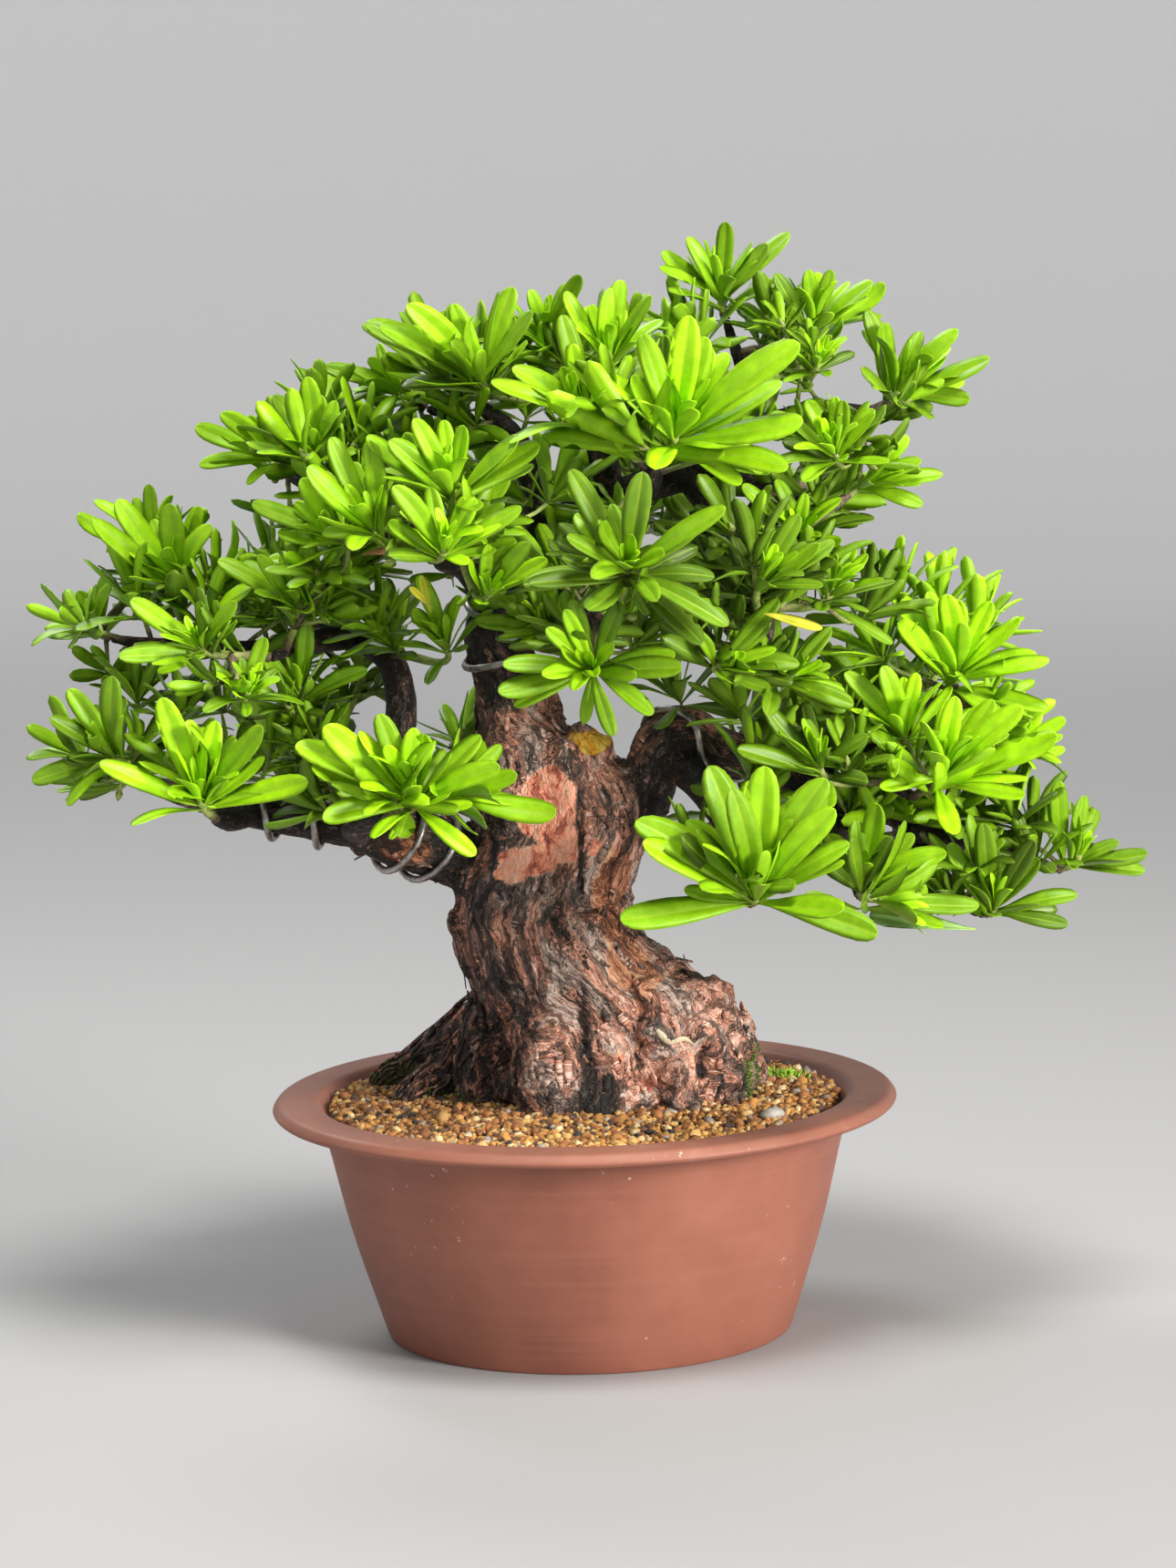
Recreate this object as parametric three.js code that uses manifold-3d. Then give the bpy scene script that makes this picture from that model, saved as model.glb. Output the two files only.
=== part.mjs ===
// A buddhist pine (Podocarpus) bonsai in its round clay pot, in millimetres, +Z up.
// The viewer of the front stands at -Y. The pot's axis is x = 0, y = 0 until the last lines,
// which move the whole tree so that the middle of its footprint is the origin.
import * as THREE from 'three';
import { mergeVertices } from 'three/addons/utils/BufferGeometryUtils.js';
import Module from 'manifold-3d';

const wasm = await Module();
wasm.setup();

// Driving dimensions
const clearance = 0.35;
const woodTolerance = 0.25;
const woodSides = { trunk: 16, root: 6, limb: 6, twig: 4, limbRadius: 9 };
const pot = {
  height: 115,
  rimRadius: 150,
  rimWidth: 22,
  lipThickness: 6.5,
  neckRadius: 124.5,
  neckHeight: 101,
  footRadius: 98,
  wall: 8,
  floor: 14,
  footHeight: 7,
  footWidth: 12,
  drainRadius: 13,
  sectors: 35,
};
const soil = { edgeHeight: 111, crownHeight: 116, grainRelief: 1.3, grainShift: 1.5, ringCount: 6 };
const blade = { keel: 1.3, widthShare: 0.24, rootHalfWidth: 0.7, freeFrom: 0.14 };
const leafTolerance = 0.2;
const leafGap = { others: 0.55, own: 0.05 };
const leavesPerShoot = { front: 4, back: 3 };
const wire = { radius: 1.75, play: 0.4, pointsPerTurn: 9, sides: 4 };
const stem = { footRadius: 2.5, tipRadius: 1.9, sides: 4, steps: 3, budLength: 8, past: 2 };
const seat = { step: 6, from: 0.35, largestRadius: 9, below: 8, aboveCost: 0.8, spacing: 9 };
const shake = { branch: 18, shoot: 22, shootDepth: 0.6, aim: 0.4 };
const footprintCentre = { x: 8.7, y: 5.9 };

// Seeded draws, so that each build is the same
function seededDraw(seed) {
  let state = seed;
  return () => {
    state = (state + 0x6d2b79f5) | 0;
    let t = Math.imul(state ^ (state >>> 15), 1 | state);
    t = (t + Math.imul(t ^ (t >>> 7), 61 | t)) ^ t;
    return ((t ^ (t >>> 14)) >>> 0) / 4294967296;
  };
}

const vec = (x, y, z) => new THREE.Vector3(x, y, z);
const mix = (a, b, t) => a + (b - a) * t;
const radians = (degrees) => THREE.MathUtils.degToRad(degrees);

// Closed meshes and solids
function toSolid(geometry) {
  const plain = geometry.clone();
  plain.deleteAttribute('normal');
  plain.deleteAttribute('uv');
  const merged = mergeVertices(plain, 1e-4);
  return new wasm.Manifold(new wasm.Mesh({
    numProp: 3,
    vertProperties: Float32Array.from(merged.attributes.position.array),
    triVerts: Uint32Array.from(merged.index.array),
  }));
}

function toGeometry(solid) {
  const mesh = solid.getMesh();
  const geometry = new THREE.BufferGeometry();
  geometry.setAttribute('position', new THREE.BufferAttribute(Float32Array.from(mesh.vertProperties), 3));
  geometry.setIndex(new THREE.BufferAttribute(Uint32Array.from(mesh.triVerts), 1));
  geometry.computeVertexNormals();
  return geometry;
}

// The largest loose body of a solid, without the scraps that a cut leaves
function largestBody(solid) {
  const bodies = solid.decompose();
  return bodies.reduce((best, body) => (body.volume() > best.volume() ? body : best));
}

// True if every edge still has two faces once the corners are rounded to 0.0001 mm
function staysClosed(solid) {
  const mesh = solid.getMesh();
  const names = [];
  for (let i = 0; i < mesh.vertProperties.length; i += 3) {
    names.push(Array.from(mesh.vertProperties.slice(i, i + 3), (value) => value.toFixed(4)).join());
  }
  const edges = new Map();
  for (let i = 0; i < mesh.triVerts.length; i += 3) {
    const corners = [0, 1, 2].map((k) => names[mesh.triVerts[i + k]]);
    for (let k = 0; k < 3; k += 1) {
      const pair = [corners[k], corners[(k + 1) % 3]];
      if (pair[0] === pair[1]) return false;
      const key = pair.sort().join(' ');
      edges.set(key, (edges.get(key) ?? 0) + 1);
    }
  }
  return [...edges.values()].every((count) => count === 2);
}

// The same body with fewer faces, as far as that leaves it closed and in one piece
function leaner(solid, tolerance) {
  const plain = solid.asOriginal();
  for (const share of [1, 0.7, 0.5, 0.3, 0.1, 0.01]) {
    const lean = plain.simplify(tolerance * share);
    if (lean.decompose().length === 1 && staysClosed(lean)) return lean;
  }
  throw new Error('a body would not close');
}

// A closed skin over rings that all have the same number of points
function loft(rings) {
  const count = rings[0].length;
  const positions = [];
  const index = [];
  for (const ring of rings) {
    for (const point of ring) positions.push(point.x, point.y, point.z);
  }
  for (let r = 0; r < rings.length - 1; r += 1) {
    for (let i = 0; i < count; i += 1) {
      const a = r * count + i;
      const b = r * count + ((i + 1) % count);
      index.push(a, b, a + count, b, b + count, a + count);
    }
  }
  const caps = [[0, true], [(rings.length - 1) * count, false]];
  for (const [start, isFirst] of caps) {
    for (let i = 1; i < count - 1; i += 1) {
      const ends = isFirst ? [start + i + 1, start + i] : [start + i, start + i + 1];
      index.push(start, ...ends);
    }
  }
  const geometry = new THREE.BufferGeometry();
  geometry.setAttribute('position', new THREE.BufferAttribute(Float32Array.from(positions), 3));
  geometry.setIndex(index);
  return geometry;
}

// Unit vectors across a curve, turned as little as possible from one station to the next
function crossFrames(curve, stations) {
  const frames = [];
  let side = null;
  for (const t of stations) {
    const along = curve.getTangent(t).normalize();
    if (side === null) {
      side = Math.abs(along.z) > 0.8 ? vec(1, 0, 0) : vec(0, 0, 1);
    }
    side = side.clone().addScaledVector(along, -side.dot(along)).normalize();
    frames.push({ along, side, up: vec(0, 0, 0).crossVectors(along, side) });
  }
  return frames;
}

// A round rod along a curve, its radius a function of the share of the way along
function rod(curve, radiusAt, sides, steps, extra = 0) {
  const stations = Array.from({ length: steps + 1 }, (_, i) => i / steps);
  const frames = crossFrames(curve, stations);
  const rings = stations.map((t, i) => {
    const centre = curve.getPoint(t);
    if (i === 0) centre.addScaledVector(frames[i].along, -extra);
    if (i === steps) centre.addScaledVector(frames[i].along, extra);
    const radius = radiusAt(t) + extra;
    return Array.from({ length: sides }, (_, k) => {
      const angle = (2 * Math.PI * k) / sides;
      return centre.clone()
        .addScaledVector(frames[i].side, radius * Math.cos(angle))
        .addScaledVector(frames[i].up, radius * Math.sin(angle));
    });
  });
  return loft(rings);
}

// The pot: one turned body with a flat flared rim, a foot ring and a drainage hole
function innerRadius(z) {
  const floorRadius = pot.footRadius - pot.wall + 3;
  const neckInside = pot.neckRadius - pot.wall + 1.5;
  const { neckHeight } = pot;
  if (z <= neckHeight) return mix(floorRadius, neckInside, (z - pot.floor) / (neckHeight - pot.floor));
  const flare = (z - neckHeight) / (pot.height - neckHeight);
  return mix(neckInside, pot.rimRadius - pot.rimWidth, flare * flare);
}

function potGeometry() {
  const lip = pot.height - pot.lipThickness;
  const neck = pot.neckRadius;
  const outline = [
    [pot.drainRadius, pot.footHeight],
    [pot.footRadius - pot.footWidth, pot.footHeight],
    [pot.footRadius - pot.footWidth + 1, 0],
    [pot.footRadius - 1, 0],
    [pot.footRadius, 2],
    [mix(pot.footRadius, neck, 0.6), 52],
    [neck - 1, 94],
    [neck + 3, lip - 3],
    [neck + 10, lip],
    [pot.rimRadius - 2, lip],
    [pot.rimRadius, mix(lip, pot.height, 0.35)],
    [pot.rimRadius - 3, pot.height],
    [pot.rimRadius - pot.rimWidth, pot.height],
    [innerRadius(pot.neckHeight), pot.neckHeight],
    [innerRadius(pot.floor), pot.floor],
    [pot.drainRadius, pot.floor],
    [pot.drainRadius, pot.footHeight],
  ];
  const profile = outline.map(([r, z]) => new THREE.Vector2(r, z));
  return new THREE.LatheGeometry(profile, pot.sectors).rotateX(Math.PI / 2);
}

// The wood. Trunk rings: height, left, right, front, back and the slope of the ring's plane.
const trunkRings = [
  [96, -54, 80, -46, 78, 0],
  [112, -55, 83, -47, 78, 0],
  [126, -54, 84, -46, 74, 0],
  [146, -52, 79, -44, 66, 0],
  [158, -52, 68, -44, 58, 0],
  [171, -54, 52, -43, 52, 0],
  [187, -58, 34, -42, 46, 0],
  [203, -58, 25, -40, 42, 0],
  [221, -56, 29, -39, 38, 0],
  [237, -52, 35, -38, 36, 0],
  [252, -49, 36, -37, 35, 0],
  [268, -48, 33, -34, 34, -0.1],
  [282, -46, 26, -29, 32, -0.3],
  [294, -44, 10, -22, 28, -0.45],
];
const trunkLobes = { count: 5, phase: 0.9, share: 0.035, twist: 0.35 };

function trunkGeometry(extra) {
  const rings = trunkRings.map(([z, left, right, front, back, slope], row) => {
    const end = row === 0 ? -extra : row === trunkRings.length - 1 ? extra : 0;
    const centre = vec((left + right) / 2, (front + back) / 2, z + end);
    const halfWidth = (right - left) / 2 + extra;
    const halfDepth = (back - front) / 2 + extra;
    return Array.from({ length: woodSides.trunk }, (_, k) => {
      const angle = (2 * Math.PI * k) / woodSides.trunk;
      const wave = trunkLobes.count * angle + trunkLobes.phase + row * trunkLobes.twist;
      const lobe = 1 + trunkLobes.share * Math.cos(wave);
      const x = halfWidth * lobe * Math.cos(angle);
      const y = halfDepth * lobe * Math.sin(angle);
      return vec(centre.x + x, centre.y + y, centre.z + slope * x);
    });
  });
  return loft(rings);
}

// Surface roots, each from inside the trunk's foot out into the soil: points as x, y, z, radius
const roots = {
  front_knuckle: [[-15, -14, 170, 18], [-15, -29, 150, 19], [-15, -38, 133, 19], [-13, -42, 96, 17]],
  front_toe: [[4, -22, 142, 15], [6, -40, 127, 14], [8, -50, 114, 11], [9, -53, 96, 8]],
  right_front: [[30, 0, 165, 24], [44, -10, 146, 27], [54, -16, 128, 25], [58, -18, 96, 22]],
  right_end: [[44, 14, 144, 16], [58, 14, 138, 20], [68, 16, 122, 20], [72, 18, 96, 17]],
  left_front: [[-38, 4, 152, 18], [-42, -8, 132, 18], [-43, -12, 96, 15]],
  left_back: [[-38, 20, 150, 17], [-60, 28, 134, 14], [-82, 36, 120, 10], [-96, 40, 113, 8], [-102, 42, 100, 5]],
  left_under: [[-40, 22, 128, 20], [-62, 28, 116, 17], [-82, 34, 106, 12], [-90, 36, 96, 8]],
  left: [[-42, 6, 142, 14], [-62, 6, 124, 12], [-82, 2, 112, 9], [-94, -2, 99, 5]],
  back: [[-8, 50, 152, 20], [-16, 74, 130, 15], [-22, 90, 114, 9], [-25, 96, 100, 6]],
  back_right: [[35, 50, 147, 18], [50, 74, 126, 12], [58, 84, 113, 8], [61, 87, 100, 5]],
};

// Branches: points as x, y, z, radius. A branch with behind: true has a twin towards the back.
const branches = {
  leader: {
    points: [[-20, 4, 270, 24], [-27, 4, 300, 19], [-32, 4, 318, 16], [-37, 5, 336, 14], [-30, 6, 358, 12],
      [-6, 8, 384, 10], [30, 6, 402, 8], [64, 4, 412, 7], [86, 2, 432, 5], [84, 0, 455, 4], [76, 0, 482, 2.6]],
  },
  left_low: {
    points: [[-30, 0, 221, 17], [-56, -4, 230, 15.5], [-72, -14, 238, 15], [-86, -23, 244, 15], [-102, -29, 249, 11],
      [-122, -33, 254, 10], [-142, -35, 258, 9.5], [-167, -38, 264, 7], [-196, -36, 272, 5], [-220, -30, 280, 3]],
  },
  left_front: {
    points: [[-98, -28, 248, 8], [-104, -52, 252, 6], [-100, -76, 256, 5], [-88, -96, 262, 3.5]], behind: true,
  },
  left_outer: { points: [[-150, -36, 260, 6], [-160, -58, 258, 5], [-166, -78, 262, 3.5]], behind: true },
  left_rise: {
    points: [[-92, -20, 246, 10], [-90, -8, 270, 8.5], [-82, 0, 300, 8], [-86, -5, 325, 7], [-104, -16, 338, 6],
      [-140, -26, 334, 5], [-175, -26, 336, 4.5], [-204, -14, 338, 3.5], [-218, -8, 340, 2.5]],
  },
  left_rise_front: { points: [[-110, -18, 337, 5], [-126, -40, 336, 4], [-140, -58, 334, 3]], behind: true },
  left_high: {
    points: [[-34, 5, 350, 11], [-50, -10, 372, 8], [-70, -26, 384, 7], [-90, -34, 394, 5.5], [-112, -26, 406, 4],
      [-130, -8, 414, 3]],
  },
  left_high_front: {
    points: [[-48, -8, 370, 7], [-54, -46, 374, 5.5], [-58, -80, 378, 4.5], [-60, -104, 382, 3]], behind: true,
  },
  crown_left: { points: [[-12, 8, 380, 9], [-16, -2, 408, 7], [-24, -12, 430, 5.5], [-40, -22, 446, 3.5]] },
  crown_left_tip: { points: [[-22, -10, 428, 4.5], [-48, -2, 438, 3.5], [-66, 2, 444, 2.5]] },
  crown_mid: { points: [[20, 7, 398, 7], [14, -14, 424, 5.5], [8, -30, 444, 4], [6, -36, 456, 2.8]], behind: true },
  crown_front: {
    points: [[36, 6, 404, 7], [38, -30, 410, 6], [38, -64, 414, 5], [36, -92, 420, 3.5]], behind: true,
  },
  centre_front: {
    points: [[-24, 4, 362, 9], [-10, -34, 362, 6.5], [2, -72, 356, 5.5], [12, -106, 352, 4], [16, -118, 350, 3]],
    behind: true,
  },
  crown_right: { points: [[82, 3, 428, 6], [106, 0, 436, 5], [130, -4, 438, 4], [144, -8, 438, 3]] },
  right_high: {
    points: [[66, 4, 412, 7], [90, -16, 404, 6], [108, -40, 398, 5], [122, -50, 396, 3.5]], behind: true,
  },
  right_mid: {
    points: [[56, 4, 410, 7], [74, -20, 386, 6], [84, -50, 362, 5], [90, -74, 346, 4], [88, -84, 334, 3]],
    behind: true,
  },
  right_low: {
    points: [[8, 0, 240, 15], [28, -3, 252, 14], [36, -5, 268, 13], [41, -8, 283, 12], [52, -9, 289, 11.5],
      [65, -8, 281, 10.5], [86, -2, 272, 10], [108, 6, 264, 9], [134, 10, 252, 8], [160, 6, 242, 7],
      [184, 2, 232, 5.5], [208, -2, 224, 4.5], [228, -6, 217, 3]],
  },
  right_front: {
    points: [[44, -8, 276, 9], [56, -28, 268, 8], [68, -60, 252, 6], [76, -92, 232, 4.5], [78, -112, 222, 3]],
    behind: true,
  },
  right_rise: {
    points: [[108, 6, 264, 8], [128, -8, 278, 6.5], [148, -20, 288, 5.5], [166, -26, 298, 4], [174, -28, 304, 3]],
  },
  right_rise_front: {
    points: [[128, -8, 277, 5.5], [134, -34, 274, 5], [146, -54, 268, 4], [156, -64, 262, 3]], behind: true,
  },
  right_lower: {
    points: [[156, 6, 243, 6.5], [166, -18, 226, 5.5], [176, -36, 212, 4.5], [188, -50, 204, 3]], behind: true,
  },
  right_lower_front: { points: [[120, 8, 258, 6], [124, -26, 240, 5], [128, -56, 226, 4], [130, -74, 218, 3]] },
};

// Where a point in front of the trunk comes again behind it
const behindPoint = (x, y, z) => [0.92 * x + 6, 22 - 0.86 * y, z - 5];

function curveOf(points) {
  return new THREE.CatmullRomCurve3(points.map(([x, y, z]) => vec(x, y, z)), false, 'centripetal');
}

// The radius at a share of the way along a curve through the same points
function taperOf(points) {
  return (t) => {
    const place = Math.min(t, 0.99999) * (points.length - 1);
    const i = Math.floor(place);
    return mix(points[i][3], points[i + 1][3], place - i);
  };
}

function allBranches() {
  const list = [];
  const draw = seededDraw(21);
  const drift = () => (draw() - 0.5) * shake.branch;
  for (const [name, branch] of Object.entries(branches)) {
    list.push({ name, points: branch.points });
    if (branch.behind) {
      const [first, ...rest] = branch.points;
      const [aside, lift] = [drift(), drift()];
      const turned = rest.map(([x, y, z, r], i) => {
        const share = (i + 1) / rest.length;
        const [behindX, behindY, behindZ] = behindPoint(x, y, z);
        return [behindX + aside * share, behindY, behindZ + lift * share, r];
      });
      list.push({ name: `${name}_back`, points: [first, ...turned] });
    }
  }
  return list;
}

function branchGeometry(points, extra) {
  const sides = points[1][3] > woodSides.limbRadius ? woodSides.limb : woodSides.twig;
  return rod(curveOf(points), taperOf(points), sides, points.length - 1, extra);
}

function woodSolid(extra) {
  const solids = [toSolid(trunkGeometry(extra))];
  for (const points of Object.values(roots)) {
    solids.push(toSolid(rod(curveOf(points), taperOf(points), woodSides.root, points.length - 1, extra)));
  }
  for (const { points } of allBranches()) solids.push(toSolid(branchGeometry(points, extra)));
  return wasm.Manifold.union(solids);
}

// The soil: grains in relief on a low mound, with a plain hole for everything that stands in it
function soilGeometry() {
  const draw = seededDraw(11);
  const edge = innerRadius(soil.edgeHeight) - clearance;
  const profile = [new THREE.Vector2(0, pot.floor + clearance)];
  profile.push(new THREE.Vector2(innerRadius(pot.floor) - clearance, pot.floor + clearance));
  profile.push(new THREE.Vector2(innerRadius(pot.neckHeight) - clearance, pot.neckHeight));
  for (let i = 0; i <= soil.ringCount; i += 1) {
    const share = i / soil.ringCount;
    const height = mix(soil.edgeHeight, soil.crownHeight, Math.sin((share * Math.PI) / 2));
    profile.push(new THREE.Vector2(edge * (1 - share), height));
  }
  const turned = new THREE.LatheGeometry(profile, pot.sectors).rotateX(Math.PI / 2);
  turned.deleteAttribute('normal');
  turned.deleteAttribute('uv');
  const geometry = mergeVertices(turned, 1e-3);
  const position = geometry.attributes.position;
  for (let i = 0; i < position.count; i += 1) {
    const radius = Math.hypot(position.getX(i), position.getY(i));
    if (position.getZ(i) > soil.edgeHeight + 0.5 && radius > 1) {
      position.setZ(i, position.getZ(i) + (draw() - 0.4) * 2 * soil.grainRelief);
      position.setX(i, position.getX(i) + (draw() - 0.5) * 2 * soil.grainShift);
      position.setY(i, position.getY(i) + (draw() - 0.5) * 2 * soil.grainShift);
    }
  }
  return geometry;
}

// A pale pebble, sunk a third of its height in the soil
const pebble = { place: [88, -62, 113.5], halfSize: [8.5, 6, 4.5], turn: 0.5 };

function pebbleGeometry(extra) {
  const draw = seededDraw(3);
  const round = new THREE.IcosahedronGeometry(1, 1);
  round.deleteAttribute('normal');
  round.deleteAttribute('uv');
  const stone = mergeVertices(round, 1e-3);
  const position = stone.attributes.position;
  for (let i = 0; i < position.count; i += 1) {
    const swell = 0.9 + 0.2 * draw();
    position.setXYZ(i, ...[position.getX(i), position.getY(i), position.getZ(i)].map((v) => v * swell));
  }
  const size = pebble.halfSize.map((half) => half + extra);
  return stone.scale(...size).rotateZ(pebble.turn).translate(...pebble.place);
}

// Training wires: helices wound round a branch between two shares of its length
const wires = {
  wire_left_inner: { branch: 'left_low', from: 0.14, to: 0.36, turns: -2, phase: 2.09 },
  wire_left_outer: { branch: 'left_low', from: 0.5, to: 0.74, turns: 2, phase: 1.05 },
  wire_right: { branch: 'right_low', from: 0.22, to: 0.58, turns: 1, phase: 1.83 },
  wire_leader: { branch: 'leader', from: 0.2, to: 0.4, turns: -2, phase: 0 },
};

function wireGeometry({ branch, from, to, turns, phase }) {
  const { points } = branches[branch];
  const curve = curveOf(points);
  const radiusAt = taperOf(points);
  const steps = Math.abs(turns) * wire.pointsPerTurn;
  const stations = Array.from({ length: steps + 1 }, (_, i) => mix(from, to, i / steps));
  const frames = crossFrames(curve, stations);
  const chordShare = Math.cos(Math.PI / wire.pointsPerTurn);
  const route = stations.map((t, i) => {
    const angle = phase + (2 * Math.PI * turns * i) / steps;
    const reach = (radiusAt(t) + wire.radius + clearance + wire.play) / chordShare;
    return curve.getPoint(t)
      .addScaledVector(frames[i].side, reach * Math.cos(angle))
      .addScaledVector(frames[i].up, reach * Math.sin(angle));
  });
  const path = new THREE.CatmullRomCurve3(route, false, 'centripetal');
  return rod(path, () => wire.radius, wire.sides, steps);
}

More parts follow.
